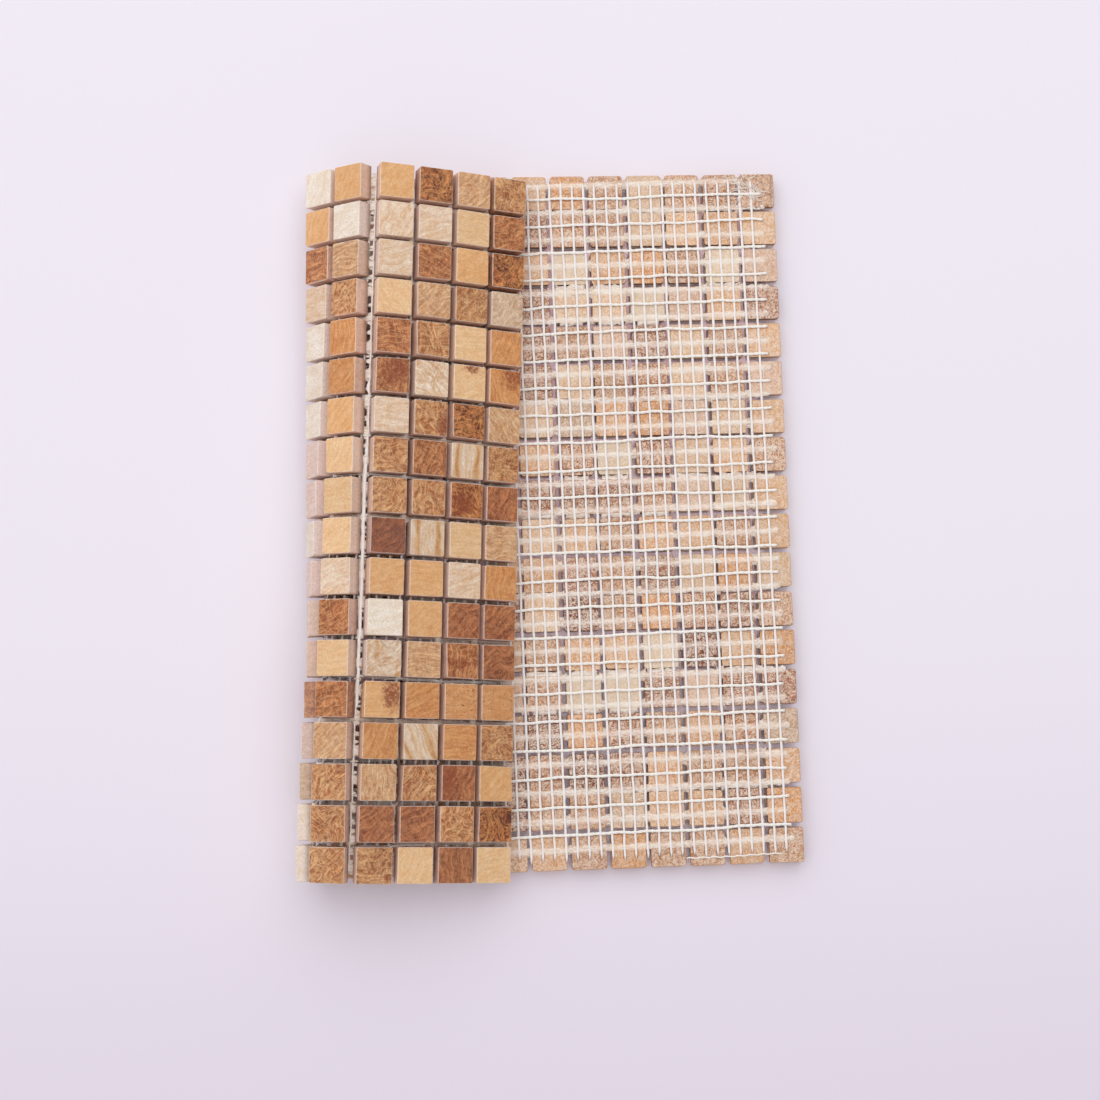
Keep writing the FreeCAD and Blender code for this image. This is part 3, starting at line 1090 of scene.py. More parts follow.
@dataclass
class TileRows:
    """The stone tiles, a piece for each row."""

    bed: Bed
    laying: Laying
    corner_radius: Pair = (0.35 * MM, 0.8 * MM)
    lower_radius: Pair = (0.7 * MM, 1.5 * MM)
    corner_steps: int = 3
    arris: float = 0.24 * MM
    shortfall: Pair = (0.07 * MM, 0.28 * MM)
    inner_share: float = 0.3
    tilt: float = math.radians(0.45)
    waver: float = 0.08 * MM
    waver_rate: float = 0.35
    waver_range: float = 50.0
    chip_share: float = 0.35
    chip_reach: Pair = (1.2 * MM, 2.4 * MM)
    chip_depth: float = 0.45
    lean: Pair = (0.3, 0.95)
    facing: float = 0.5
    grain_tilt: float = 0.2
    grain_range: float = 400.0
    # tone at the back row, then at the front row; the fall between them is painted shade towards the
    # front
    lower_tone_shaded_forward: Pair = (-0.08, -0.11)
    folded_tone_shaded_forward: Pair = (-0.03, -0.08)
    tone_scatter: float = 0.05
    dust_scatter: Pair = (0.75, 1.0)
    face_marks: tuple[str, ...] = ("sawn", "back", "arris", "tone_and_shade", "dusty", "jointed")
    materials: dict[Stone, Material] = field(init=False, default_factory=dict)
    seed: int = 42

    def build(self) -> None:
        """Builds and dresses every row."""
        for stone, finish in FINISHES.items():
            self.materials[stone] = finish.material(f"stone_{stone.name.lower()}", self.bed.depth / MM)
        lot = Random(self.seed)
        for row, name in enumerate(self.bed.names):
            self.build_row(row, name, lot)

    def build_row(self, row: int, node: str, lot: Random) -> None:
        """Builds one row of tiles.

        Args:
            row: the row's number.
            node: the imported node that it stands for.
            lot: the draws that make tiles differ.
        """
        bm = bmesh.new()
        bm.loops.layers.float_vector.new("grain")
        bm.loops.layers.float_vector.new("blot")
        bm.loops.layers.float.new("deep")
        bm.loops.layers.uv.new("sheet")
        for name in self.face_marks:
            bm.faces.layers.float.new(name)
        used = sorted({self.laying.stone(row, column) for column in range(self.bed.columns)},
                      key=lambda stone: stone.value)
        for column, seat in enumerate(self.bed.rows[row]):
            before = set(bm.verts)
            self.cut_tile(bm, column, lot)
            verts = fresh(bm, before)
            self.wear_tile(verts, lot)
            stone = self.laying.stone(row, column)
            self.mark_tile(bm, verts, row, column, used.index(stone), lot)
            bmesh.ops.transform(bm, matrix=seat.matrix(), verts=verts)
        bmesh.ops.recalc_face_normals(bm, faces=bm.faces)
        materials = [self.materials[stone] for stone in used]
        finished(bm, node.replace("tile_row", "stone_row"), materials, (node,))

    def cut_tile(self, bm: BMesh, column: int, lot: Random) -> None:
        """Adds one tile at the origin, face up, with tumbled corners and eased arrises.

        Args:
            bm: the row's mesh.
            column: the column's number.
            lot: the draws that make tiles differ.
        """
        cube = bmesh.ops.create_cube(bm, size=1.0)["verts"]
        lower = column < self.laying.first_folded
        spared = self.inner_share if lower and column > 0 else 1.0
        sides = [self.bed.side - lot.uniform(*self.shortfall) * spared for _ in range(2)]
        bmesh.ops.scale(bm, vec=(*sides, self.bed.thickness), verts=cube)
        uprights = {edge for vertex in cube for edge in vertex.link_edges if self.stands(edge)}
        radius = lot.uniform(*(self.lower_radius if lower else self.corner_radius))
        bevelled = bmesh.ops.bevel(bm, geom=list(uprights), offset=radius, offset_type="OFFSET",
                                   segments=self.corner_steps, profile=0.5, affect="EDGES", material=-1)
        around = {edge for vertex in bevelled["verts"] for edge in vertex.link_edges}
        rims = [edge for edge in around if not self.stands(edge)]
        bmesh.ops.bevel(bm, geom=rims, offset=self.arris, offset_type="OFFSET", segments=1,
                        profile=0.5, affect="EDGES", material=-1)

    def stands(self, edge: BMEdge) -> bool:
        """Whether an edge runs from a tile's face to its back."""
        return abs(edge.verts[0].co.z - edge.verts[1].co.z) > self.bed.thickness / 2

    def wear_tile(self, verts: list[BMVert], lot: Random) -> None:
        """Makes a tile's outline uneven, knocks a corner off some and turns it a little.

        Args:
            verts: the tile's vertices.
            lot: the draws that make tiles differ.
        """
        offset = Vector((lot.uniform(0, self.waver_range), lot.uniform(0, self.waver_range), 0))
        for vertex in verts:
            push = noise.noise_vector(vertex.co / MM * self.waver_rate + offset)
            vertex.co -= Vector((abs(push.x) * math.copysign(1, vertex.co.x),
                                 abs(push.y) * math.copysign(1, vertex.co.y), 0)) * self.waver
        if lot.random() < self.chip_share:
            self.chip(verts, lot)
        turn = Matrix.Rotation(lot.uniform(-self.tilt, self.tilt), 3, "Z")
        for vertex in verts:
            vertex.co = turn @ vertex.co

    def chip(self, verts: list[BMVert], lot: Random) -> None:
        """Knocks one corner off.

        Args:
            verts: the tile's vertices.
            lot: the draws that make tiles differ.
        """
        end, right, back = (lot.choice((-1, 1)) for _ in range(3))
        corner = Vector((right * self.bed.side, back * self.bed.side, end * self.bed.thickness)) / 2
        reach = lot.uniform(*self.chip_reach)
        for vertex in verts:
            near = 1 - (vertex.co - corner).length / reach
            if near > 0:
                vertex.co -= corner.normalized() * near * reach * self.chip_depth

    def in_joint(self, normal: Vector, row: int, column: int) -> bool:
        """Whether a side of a lower tile faces a joint, where painted floor light brightens it from
        below.

        Args:
            normal: the side's direction, before the tile is laid.
            row: the row's number.
            column: the column's number.

        Returns:
            True where it isn't on the sheet's free edge or at the fold.
        """
        last_row, last_column = len(self.bed.rows) - 1, self.laying.first_folded - 1
        outside = (column == 0 and normal.x < -self.facing or row == 0 and normal.y > self.facing
                   or column == last_column and normal.x > self.facing
                   or row == last_row and normal.y < -self.facing)
        return column <= last_column and abs(normal.z) < self.lean[0] and not outside

    def mark_tile(self, bm: BMesh, verts: list[BMVert], row: int, column: int, material: int,
                  lot: Random) -> None:
        """Marks a tile's faces with what its finish reads.

        Args:
            bm: the row's mesh.
            verts: the tile's vertices, at the origin.
            row: the row's number.
            column: the column's number.
            material: the number of the finish in the row's slots.
            lot: the draws that make tiles differ.
        """
        grain, chart = bm.loops.layers.float_vector["grain"], bm.loops.layers.uv["sheet"]
        blot, deep_in = bm.loops.layers.float_vector["blot"], bm.loops.layers.float["deep"]
        right, behind, wide, deep = self.laying.blot(row, column)
        layers = {name: bm.faces.layers.float[name] for name in self.face_marks}
        tilts = [lot.uniform(-self.grain_tilt, self.grain_tilt) for _ in range(2)]
        turn = Euler((*tilts, -self.laying.turn(row, column))).to_matrix()
        offset = Vector([lot.uniform(-self.grain_range, self.grain_range) for _ in range(3)])
        middle = Vector((column + 0.5, row + 0.5)) * self.bed.pitch
        middle -= Vector((1, 1)) * self.bed.joint / 2
        back_tone, front_shaded_tone = self.lower_tone_shaded_forward if column < self.laying.first_folded else self.folded_tone_shaded_forward
        tone_and_shade = lot.uniform(-self.tone_scatter, self.tone_scatter) + back_tone
        # painted shade: tiles darken row by row towards the front
        tone_and_shade += (front_shaded_tone - back_tone) * row / len(self.bed.rows)
        dusty = self.laying.dusty(row, column) * lot.uniform(*self.dust_scatter)
        least, most = self.lean
        for face in {face for vertex in verts for face in vertex.link_faces}:
            lean, jointed = face.normal.z, self.in_joint(face.normal, row, column)
            face.material_index = material
            face.smooth = least < abs(lean) < most
            said = (lean <= least, lean < -least, face.smooth, 0.0 if jointed else tone_and_shade, dusty, jointed)
            for name, value in zip(self.face_marks, said):
                face[layers[name]] = float(value)
            for loop in face.loops:
                spot = loop.vert.co
                loop[grain] = turn @ (spot / MM) + offset
                loop[blot] = ((spot.x / MM - right) / wide, (spot.y / MM - behind) / deep, 0.0)
                loop[deep_in] = 0.5 - spot.z / self.bed.thickness
                loop[chart].uv = ((middle.x + spot.x) / MM, (middle.y - spot.y) / MM)


@dataclass(frozen=True)
class YarnFinish:
    """Glass-fibre yarn: its colours, and how much its fibres show. Marks are in millimetres.

    A soaked yarn lets through what lies under it where it is thin, and shows crisp strands.
    """

    colour: Colour
    shade: Colour
    soaked: float = 0.0
    strands: float = 0.0
    fibres: float = 0.3
    roughness: float = 0.55
    sheen: float = 0.15
    fibre_mark: Mark = Mark(2.4, 3.0, 0.6, (0.35, 0.7), stretch=(0.28, 1.0, 1.0))
    patch_mark: Mark = Mark(0.7, 4.0, 0.65, (0.40, 0.65))
    patch_share: float = 0.8
    soaked_edge: Pair = (0.30, 0.90)
    soaked_most: float = 0.95
    patch_ragged: float = 1.7
    fibre_ragged: float = 0.7
    strand_mark: Mark = Mark(0.72, 2.5, 0.6, (0.0, 0.075), swirl=0.6, stretch=(0.30, 1.0, 1.0))
    relief_depth: float = 0.12 * MM
    relief_strength: float = 0.7

    def material(self, name: str) -> Material:
        """The finish as a material.

        Args:
            name: the material's name.

        Returns:
            The material.
        """
        tree = Tree(name)
        run = tree.attribute("run", "Vector")
        fibre, patch = tree.noise(run, self.fibre_mark), tree.noise(run, self.patch_mark)
        colour = tree.mix(tree.spread(fibre, *self.fibre_mark.span, self.fibres, 0.0), self.colour,
                          self.shade)
        faded = tree.spread(patch, *self.patch_mark.span, self.fibres * self.patch_share, 0.0)
        colour = tree.mix(faded, colour, self.shade)
        if self.soaked:
            thin = tree.attribute("edge")
            for cloud, ragged in ((patch, self.patch_ragged), (fibre, self.fibre_ragged)):
                thin = tree.plus(thin, tree.times(tree.minus(cloud, tree.middle), ragged))
            share = tree.spread(thin, *self.soaked_edge, self.soaked, self.soaked_most)
            colour = tree.mix(share, colour, tree.attribute("ground", "Color"))
            colour = tree.mix(tree.lines(run, self.strand_mark, self.strands), colour, self.colour)
        tree.feed(tree.shader.inputs["Base Color"], colour)
        tree.shader.inputs["Roughness"].default_value = self.roughness
        tree.shader.inputs["Sheen Weight"].default_value = self.sheen
        tree.bump(fibre, self.relief_depth, self.relief_strength)
        return tree.material


def wander(place: float, phase: float, layers: tuple[Triple, ...]) -> float:
    """Smooth noise along a yarn, the sum of layers with a rate per millimetre, a strength and a start."""
    return sum(strength * noise.noise(Vector((place / MM * rate, phase, start)))
               for rate, strength, start in layers)


@dataclass
class YarnMaker:
    """Spins yarns straight in sheet coordinates and lays them on the bed."""

    bed: Bed
    laying: Laying
    joint_ground: Colour = paint(206, 176, 154)
    rim: float = 0.98
    film_edge: float = 0.35
    taper_length: float = 2 * MM
    phase_range: float = 100.0

    def row_ends(self, scatter: float, lot: Random) -> Pair:
        """Where a cross yarn starts and ends along the sheet, each off by up to a scatter."""
        margin = LAY.right_end * MM
        return (margin + lot.uniform(-1, 1) * scatter,
                self.bed.length - margin + lot.uniform(-1, 1) * scatter)

    def taper(self, place: float, ends: Pair, least: float) -> float:
        """How thick a yarn is near its ends, from its least share to 1."""
        nearest = min(place - ends[0], ends[1] - place)
        return min(1, least + nearest / self.taper_length)

    def phase(self, lot: Random) -> float:
        """A place in the noise for one yarn, film or lump."""
        return lot.uniform(0, self.phase_range)

    def start(self) -> BMesh:
        """Starts a mesh with the marks that the yarns' finishes read."""
        bm = bmesh.new()
        bm.verts.layers.float_vector.new("run")
        bm.verts.layers.float_color.new("ground")
        bm.verts.layers.float.new("edge")
        return bm

    def sheet_of_glue(self, middle: Pair, size: Pair, cells: tuple[int, int]) -> BMesh:
        """Makes a flat oblong of glue at height 0, its rim marked as thin.

        Args:
            middle: where its middle lies along and across the sheet.
            size: how large it is that way.
            cells: how many faces it has that way.

        Returns:
            Its mesh.
        """
        film = self.start()
        edge = film.verts.layers.float["edge"]
        bmesh.ops.create_grid(film, x_segments=cells[0], y_segments=cells[1], size=0.5)
        for vertex in film.verts:
            vertex[edge] = 1.0 if vertex.is_boundary else self.film_edge
            vertex.co = (middle[0] + vertex.co.x * size[0], middle[1] + vertex.co.y * size[1], 0.0)
        return film

    def spin(self, start: float, end: float, sides: int, step: float) -> BMesh:
        """Makes a straight rod of diameter one along X.

        Args:
            start: where it starts.
            end: where it ends.
            sides: how many sides it has.
            step: how long its stretches are.

        Returns:
            Its mesh.
        """
        rod = self.start()
        lie = Matrix.Translation(((start + end) / 2, 0, 0)) @ Matrix.Rotation(math.pi / 2, 4, "Y")
        bmesh.ops.create_cone(rod, cap_ends=True, cap_tris=False, segments=sides, radius1=0.5,
                              radius2=0.5, depth=end - start, matrix=lie)
        runs = [edge for edge in rod.edges
                if abs(edge.verts[0].co.x - edge.verts[1].co.x) > (end - start) / 2]
        cuts = max(1, round((end - start) / step) - 1)
        bmesh.ops.subdivide_edges(rod, edges=runs, cuts=cuts, use_grid_fill=False)
        edge = rod.verts.layers.float["edge"]
        for vertex in rod.verts:
            vertex[edge] = abs(vertex.co.y) * 2
        for line in rod.edges:
            line.smooth = min(vertex[edge] for vertex in line.verts) < self.rim
        return rod

    def lay(self, rod: BMesh, bm: BMesh, swap: bool) -> None:
        """Marks a yarn with what its finish reads, folds it with the sheet and adds it to its piece.

        Args:
            rod: the yarn's mesh, in sheet coordinates.
            bm: the mesh of the whole piece.
            swap: true where the yarn runs across the sheet.
        """
        run = rod.verts.layers.float_vector["run"]
        ground = rod.verts.layers.float_color["ground"]
        for vertex in rod.verts:
            spot = vertex.co / MM
            vertex[run] = (spot.y, spot.x, spot.z) if swap else spot
            vertex[ground] = (*self.ground_at(vertex.co.x, vertex.co.y), 1.0)
            vertex.co = self.bed.place(*vertex.co)
        bmesh.ops.recalc_face_normals(rod, faces=rod.faces)
        for face in rod.faces:
            face.smooth = True
        laid = bpy.data.meshes.new("laid")
        rod.to_mesh(laid)
        rod.free()
        bm.from_mesh(laid)
        bpy.data.meshes.remove(laid)

    def ground_at(self, along: float, across: float) -> Colour:
        """The colour of what lies under a point of the sheet."""
        column, _, through = self.bed.step(along, self.bed.columns)
        row, _, past = self.bed.step(across, len(self.bed.rows))
        if through > 0 or past > 0:
            return self.joint_ground
        finish = FINISHES[self.laying.stone(row, column)]
        return tuple(level * tint for level, tint in zip(finish.back, finish.back_tint))


@dataclass
class Warps:
    """The thin yarns along the columns, glued to the backs of the tiles."""

    maker: YarnMaker
    width: float = 1.0 * MM
    depth: float = 0.5 * MM
    sides: int = 6
    stretch: float = 2.0 * MM
    sway: float = 0.16 * MM
    drift: tuple[Triple, ...] = ((0.045, 2.0, 0), (0.25, 1.0, 5))
    swell: tuple[Triple, ...] = ((0.4, 0.22, 9),)
    tip: float = 0.35
    lift: float = 0.24 * MM
    lift_power: int = 3
    end_scatter: float = 1.0 * MM
    ridge_columns: int = 14
    ridge_lift: float = 0.40 * MM
    ridge_wander: float = 0.55 * MM
    ridge_width: float = 0.62
    seed: int = 7
    finish: YarnFinish = YarnFinish(paint(251, 246, 243), paint(226, 215, 208), fibres=0.22)

    def build(self) -> None:
        """Builds and dresses the yarns along the columns."""
        bm = self.maker.start()
        lot = Random(self.seed)
        bed = self.maker.bed
        ridge = (self.ridge_columns * bed.pitch - bed.joint / 2) / MM
        middle = bed.depth / MM / 2
        count = int((bed.length / MM - LAY.first_warp) / LAY.warp_spacing)
        in_ridge = min(range(count), key=lambda number: abs(LAY.warp(number, middle) - ridge))
        for number in range(count):
            ends = (LAY.back_end * MM + lot.uniform(-1, 1) * self.end_scatter,
                    bed.depth - LAY.front_end * MM + lot.uniform(-1, 1) * self.end_scatter)
            self.add(bm, number, ends, ridge * MM if number == in_ridge else None, lot)
        finished(bm, "mesh_warp_yarns", [self.finish.material("warp_yarn")], ("mesh_warp",))

    def ridge_drift(self, across: float) -> float:
        """How far past the ridge joint's middle its yarn lies: it changes sides on its way forward."""
        return self.ridge_wander * math.cos(math.pi * across / self.maker.bed.depth)

    def add(self, bm: BMesh, number: int, ends: Pair, held: float | None, lot: Random) -> None:
        """Adds one yarn, which humps a little over the flat yarns.

        Args:
            bm: the mesh.
            number: the yarn's number, counted from the right edge.
            ends: where it starts and ends across the sheet.
            held: how far along it is held in a joint, or none where it runs freely.
            lot: the draws that make yarns differ.
        """
        rod = self.maker.spin(ends[0], ends[1], self.sides, self.stretch)
        phase = self.maker.phase(lot)
        for vertex in rod.verts:
            across, x, z = vertex.co
            drift = wander(across, phase, self.drift) * self.sway
            swell = 1 + wander(across, phase, self.swell)
            tip = self.maker.taper(across, ends, self.tip)
            if held is None:
                place = LAY.warp(number, across / MM) * MM
                over = LAY.near_roving(place / MM, across / MM) ** self.lift_power
                rise = self.depth / 2 + self.lift * over
            else:
                place = held + self.ridge_drift(across)
                rise, swell = -self.ridge_lift, swell * self.ridge_width
            place += drift + x * self.width * swell * tip
            vertex.co = (place, across, rise + z * self.depth * tip)
        self.maker.lay(rod, bm, swap=True)


@dataclass
class Rovings:
    """The flat glue-soaked yarns along the rows."""

    maker: YarnMaker
    width: Pair = (2.1 * MM, 2.9 * MM)
    depth: float = 0.50 * MM
    rise: float = -0.05 * MM
    sides: int = 6
    stretch: float = 0.95 * MM
    sway: float = 0.35 * MM
    drift: tuple[Triple, ...] = ((0.05, 1.0, 0),)
    swell: tuple[Triple, ...] = ((0.11, 0.4, 4),)
    edge_swell: Triple = (0.45, 0.55, 8)
    tip: float = 0.3
    end_scatter: float = 0.9 * MM
    seed: int = 19
    finish: YarnFinish = YarnFinish(paint(248, 243, 234), paint(228, 214, 197), soaked=0.30,
                                    strands=0.75, fibres=0.5, roughness=0.6, sheen=0.1)
    material: Material | None = field(init=False, default=None)

    def build(self) -> None:
        """Builds and dresses the flat yarns."""
        self.material = self.finish.material("flat_roving")
        bm = self.maker.start()
        lot = Random(self.seed)
        for number in range(0, LAY.wefts, 2):
            self.add(bm, number, self.maker.row_ends(self.end_scatter, lot), lot)
        finished(bm, "mesh_flat_rovings", [self.material], ("mesh_roving",))

    def add(self, bm: BMesh, number: int, ends: Pair, lot: Random) -> None:
        """Adds one flat yarn, which lies in its glue under the others.

        Args:
            bm: the mesh.
            number: the yarn's number among the cross yarns, counted from the back edge.
            ends: where it starts and ends along the sheet.
            lot: the draws that make yarns differ.
        """
        rod = self.maker.spin(ends[0], ends[1], self.sides, self.stretch)
        phase, width = self.maker.phase(lot), lot.uniform(*self.width)
        rate, strength, start = self.edge_swell
        for vertex in rod.verts:
            along, y, z = vertex.co
            drift = wander(along, phase, self.drift) * self.sway
            layers = (*self.swell, (rate, strength, math.copysign(start, y)))
            swell = 1 + wander(along, phase, layers)
            tip = self.maker.taper(along, ends, self.tip)
            place = LAY.weft(number, along / MM) * MM + drift + y * width * swell * tip
            vertex.co = (along, place, self.rise + z * self.depth * tip)
        self.maker.lay(rod, bm, swap=False)


@dataclass
class TwistedYarns:
    """The bright two-ply yarns along the rows, between the flat ones."""

    maker: YarnMaker
    ply_width: float = 0.96 * MM
    ply_offset: float = 0.19 * MM
    ply_flatness: Pair = (0.7, 0.6)
    twist_length: float = 5.2 * MM
    sides: int = 6
    stretch: float = 1.1 * MM
    sway: float = 0.6 * MM
    drift: tuple[Triple, ...] = ((0.03, 1.5, 0), (0.13, 0.8, 3))
    rise: float = 0.52 * MM
    warp_rise: float = 0.16 * MM
    end_scatter: float = 0.6 * MM
    stray_ends: Pair = (9.5 * MM, 51.0 * MM)
    stray_width: float = 0.6
    seed: int = 23
    finish: YarnFinish = YarnFinish(paint(252, 248, 241), paint(232, 222, 208), fibres=0.18, sheen=0.2)

    def build(self) -> None:
        """Builds and dresses the twisted yarns, and the stray end of one beyond the last."""
        bm = self.maker.start()
        lot = Random(self.seed)
        for number in range(1, LAY.wefts, 2):
            ends = self.maker.row_ends(self.end_scatter, lot)
            phase, turn = self.maker.phase(lot), lot.uniform(0, math.tau)
            for ply in range(2):
                self.add_ply(bm, number, ends, phase, turn + ply * math.pi, 1.0)
        self.add_ply(bm, LAY.wefts, self.stray_ends, self.maker.phase(lot), 0.0, self.stray_width)
        finished(bm, "mesh_twisted_yarns", [self.finish.material("twisted_yarn")],
                 ("mesh_twisted",))

    def add_ply(self, bm: BMesh, number: int, ends: Pair, phase: float, turn: float,
                share: float) -> None:
        """Adds one of the two plies that wind round each other.

        Args:
            bm: the mesh.
            number: the yarn's number among the cross yarns, counted from the back edge.
            ends: where it starts and ends along the sheet.
            phase: where its drift starts.
            turn: the angle at which the ply starts.
            share: how thick it is, 1 for a whole ply.
        """
        rod = self.maker.spin(ends[0], ends[1], self.sides, self.stretch)
        wound, thick = self.ply_flatness
        for vertex in rod.verts:
            along, y, z = vertex.co
            place = LAY.weft(number, along / MM) * MM
            angle = turn + math.tau * along / self.twist_length
            rise = self.rise + self.warp_rise * LAY.near_warp(along / MM, place / MM)
            rise += math.sin(angle) * self.ply_offset * wound + z * self.ply_width * thick * share
            place += wander(along, phase, self.drift) * self.sway
            place += math.cos(angle) * self.ply_offset + y * self.ply_width * share
            vertex.co = (along, place, rise)
        self.maker.lay(rod, bm, swap=False)


@dataclass
class Glue:
    """The glue that spans the joints under the rovings, fills the ridge joint and ends in lumps."""

    maker: YarnMaker
    rovings: Rovings
    warps: Warps
    lap: float = 0.7 * MM
    web_length: Pair = (3.8 * MM, 6.8 * MM)
    web_shift: float = 0.4 * MM
    web_waist: float = 0.7
    web_ragged: Pair = (0.7, 0.4)
    web_margin: float = 0.2 * MM
    web_rise: float = 0.08 * MM
    web_sag: float = 0.5 * MM
    web_cells: tuple[int, int] = (4, 4)
    film_reach: float = 2.9 * MM
    film_length: Pair = (0.6, 1.1)
    film_cells: tuple[int, int] = (10, 3)
    film_share: float = 0.85
    film_ragged: tuple[Triple, ...] = ((0.5, 0.6, 0),)
    film_rise: float = 0.06 * MM
    folded_reach: float = 0.55
    folded_sag: float = 1.7
    thickness: float = 0.16 * MM
    ridge_cell: float = 0.45 * MM
    ridge_cells: int = 6
    ridge_hem: float = 0.25 * MM
    ridge_lap: float = 0.35 * MM
    ridge_change: float = 0.42
    ridge_share: Pair = (0.1, 1.3)
    ridge_ragged: tuple[Triple, ...] = ((0.2, 2.5, 4),)
    ridge_relief: Triple = (0.1 * MM, 0.25 * MM, 0.4)
    rung_spacing: float = 4.1 * MM
    rung_share: float = -0.60
    rung_sway: tuple[Triple, ...] = ((0.12, 2.6, 0),)
    rung_ragged: tuple[Triple, ...] = ((0.5, 0.5, 7),)
    rung_steepness: float = 2.5
    knot: Triple = (1.7 * MM, 0.55 * MM, 0.4 * MM)
    knot_level: float = -0.3 * MM
    lump_share: float = 0.6
    lump_size: Pair = (1.0 * MM, 1.6 * MM)
    lump_height: float = 0.3 * MM
    lump_level: float = 0.05 * MM
    lump_scatter: Pair = (-0.6, 0.8)
    lump_margin: float = 0.4 * MM
    lump_cells: tuple[int, int] = (10, 6)
    lump_ragged: Pair = (1.2, 0.35)
    lump_thin: float = 0.9
    seed: int = 31

    def build(self) -> None:
        """Builds and dresses the webs with their films, the ridge strip and the lumps."""
        lot = Random(self.seed)
        for name, fill in (("joint_glue_webs", self.add_webs), ("ridge_glue_strip", self.add_ridge),
                           ("glue_lumps", self.add_lumps)):
            bm = self.maker.start()
            fill(bm, lot)
            finished(bm, name, [self.rovings.material])

    def thicken(self, film: BMesh, bm: BMesh) -> None:
        """Gives a film its thickness, folds it with the sheet and adds it to its piece."""
        bmesh.ops.solidify(film, geom=film.faces, thickness=self.thickness)
        self.maker.lay(film, bm, swap=False)

    def add_webs(self, bm: BMesh, lot: Random) -> None:
        """Adds what spans the joints along every roving.

        Args:
            bm: the mesh.
            lot: the draws that make webs and films differ.
        """
        for number in range(0, LAY.wefts, 2):
            for column in range(1, self.maker.bed.columns):
                self.add_web(bm, number, column, lot)
            for row in range(1, len(self.maker.bed.rows)):
                self.add_films(bm, number, row, lot)

    def add_web(self, bm: BMesh, number: int, column: int, lot: Random) -> None:
        """Adds the web between two columns of tiles where a roving crosses their joint.

        Args:
            bm: the mesh.
            number: the roving's number among the cross yarns.
            column: the column after the joint.
            lot: the draws that make webs differ.
        """
        bed = self.maker.bed
        along = column * bed.pitch - bed.joint / 2
        across = LAY.weft(number, along / MM) * MM + lot.uniform(-self.web_shift, self.web_shift)
        size = bed.joint + 2 * self.lap, lot.uniform(*self.web_length)
        film = self.maker.sheet_of_glue((along, across), size, self.web_cells)
        phase, (rate, ragged) = self.maker.phase(lot), self.web_ragged
        for vertex in film.verts:
            aside = (vertex.co.x - along) / (size[0] / 2)
            waist = self.web_waist + (1 - self.web_waist) * aside * aside
            spot = Vector((vertex.co.x / MM * rate + phase, vertex.co.y / MM * rate, 0))
            waist *= 1 + ragged * noise.noise(spot)
            vertex.co.y = across + (vertex.co.y - across) * waist
            vertex.co.y = min(max(vertex.co.y, self.web_margin), bed.depth - self.web_margin)
            vertex.co.z = self.web_rise - self.web_sag * (1 - aside * aside)
        self.thicken(film, bm)

    def add_films(self, bm: BMesh, number: int, row: int, lot: Random) -> None:
        """Adds the ragged films that join a roving to the tiles beyond a row joint close to it.

        Args:
            bm: the mesh.
            number: the roving's number among the cross yarns.
            row: the row after the joint.
            lot: the draws that make films differ.
        """
        bed = self.maker.bed
        joint = row * bed.pitch - bed.joint / 2
        for column in range(bed.columns):
            along = column * bed.pitch + bed.side / 2
            place = LAY.weft(number, along / MM) * MM
            folded = column >= self.maker.laying.first_folded
            reach = self.film_reach * (self.folded_reach if folded else 1)
            if column == 0 or abs(place - joint) > reach or lot.random() > self.film_share:
                continue
            length = bed.side * lot.uniform(*self.film_length)
            size = length, abs(place - joint) + bed.joint / 2 + self.lap
            across = (place + joint) / 2
            film = self.maker.sheet_of_glue((along, across), size, self.film_cells)
            phase = self.maker.phase(lot)
            for vertex in film.verts:
                ragged = 1 + wander(vertex.co.x, phase, self.film_ragged)
                vertex.co.y = across + (vertex.co.y - across) * ragged
                beyond = abs(vertex.co.y - joint) / (bed.joint / 2)
                sag = self.web_sag * (1 - beyond * beyond) if beyond < 1 else 0.0
                vertex.co.z = self.film_rise + (sag * self.folded_sag if folded else -sag)
            self.thicken(film, bm)

    def add_ridge(self, bm: BMesh, lot: Random) -> None:
        """Adds the glue along the yarn in the ridge joint: a strip on one side, rungs on the other.

        Args:
            bm: the mesh.
            lot: the draws that place the gaps.
        """
        bed = self.maker.bed
        ridge = self.warps.ridge_columns * bed.pitch - bed.joint / 2
        length = bed.depth - (LAY.back_end + LAY.front_end) * MM
        cells = self.ridge_cells, round(length / self.ridge_cell)
        film = self.maker.sheet_of_glue((ridge, bed.depth / 2), (bed.joint, length), cells)
        phase, reach = self.maker.phase(lot), bed.joint / 2 + self.ridge_lap
        (least, full), (level, relief, rate) = self.ridge_share, self.ridge_relief
        for vertex in film.verts:
            aside, across = (vertex.co.x - ridge) / (bed.joint / 2), vertex.co.y
            yarn = self.warps.ridge_drift(across)
            wall = reach - yarn if aside > 0 else reach + yarn
            if (aside > 0) == (across > bed.depth * self.ridge_change):
                turn = math.tau * across / self.rung_spacing + wander(across, phase, self.rung_sway)
                rung = math.cos(turn) + self.rung_share + wander(across, phase, self.rung_ragged)
                share = min(max(0.5 + rung * self.rung_steepness, 0), 1)
            else:
                share = min(max(full + wander(across, phase, self.ridge_ragged), least), 1)
            vertex.co.x = ridge + yarn + aside * (self.ridge_hem + (wall - self.ridge_hem) * share)
            vertex.co.z = level + relief * noise.noise(Vector((across / MM * rate, aside, phase)))
        self.thicken(film, bm)
        for row in range(1, len(bed.rows)):
            across = row * bed.pitch - bed.joint / 2
            place = ridge + self.warps.ridge_drift(across)
            self.add_lump(bm, (place, across, self.knot_level), self.knot, lot)

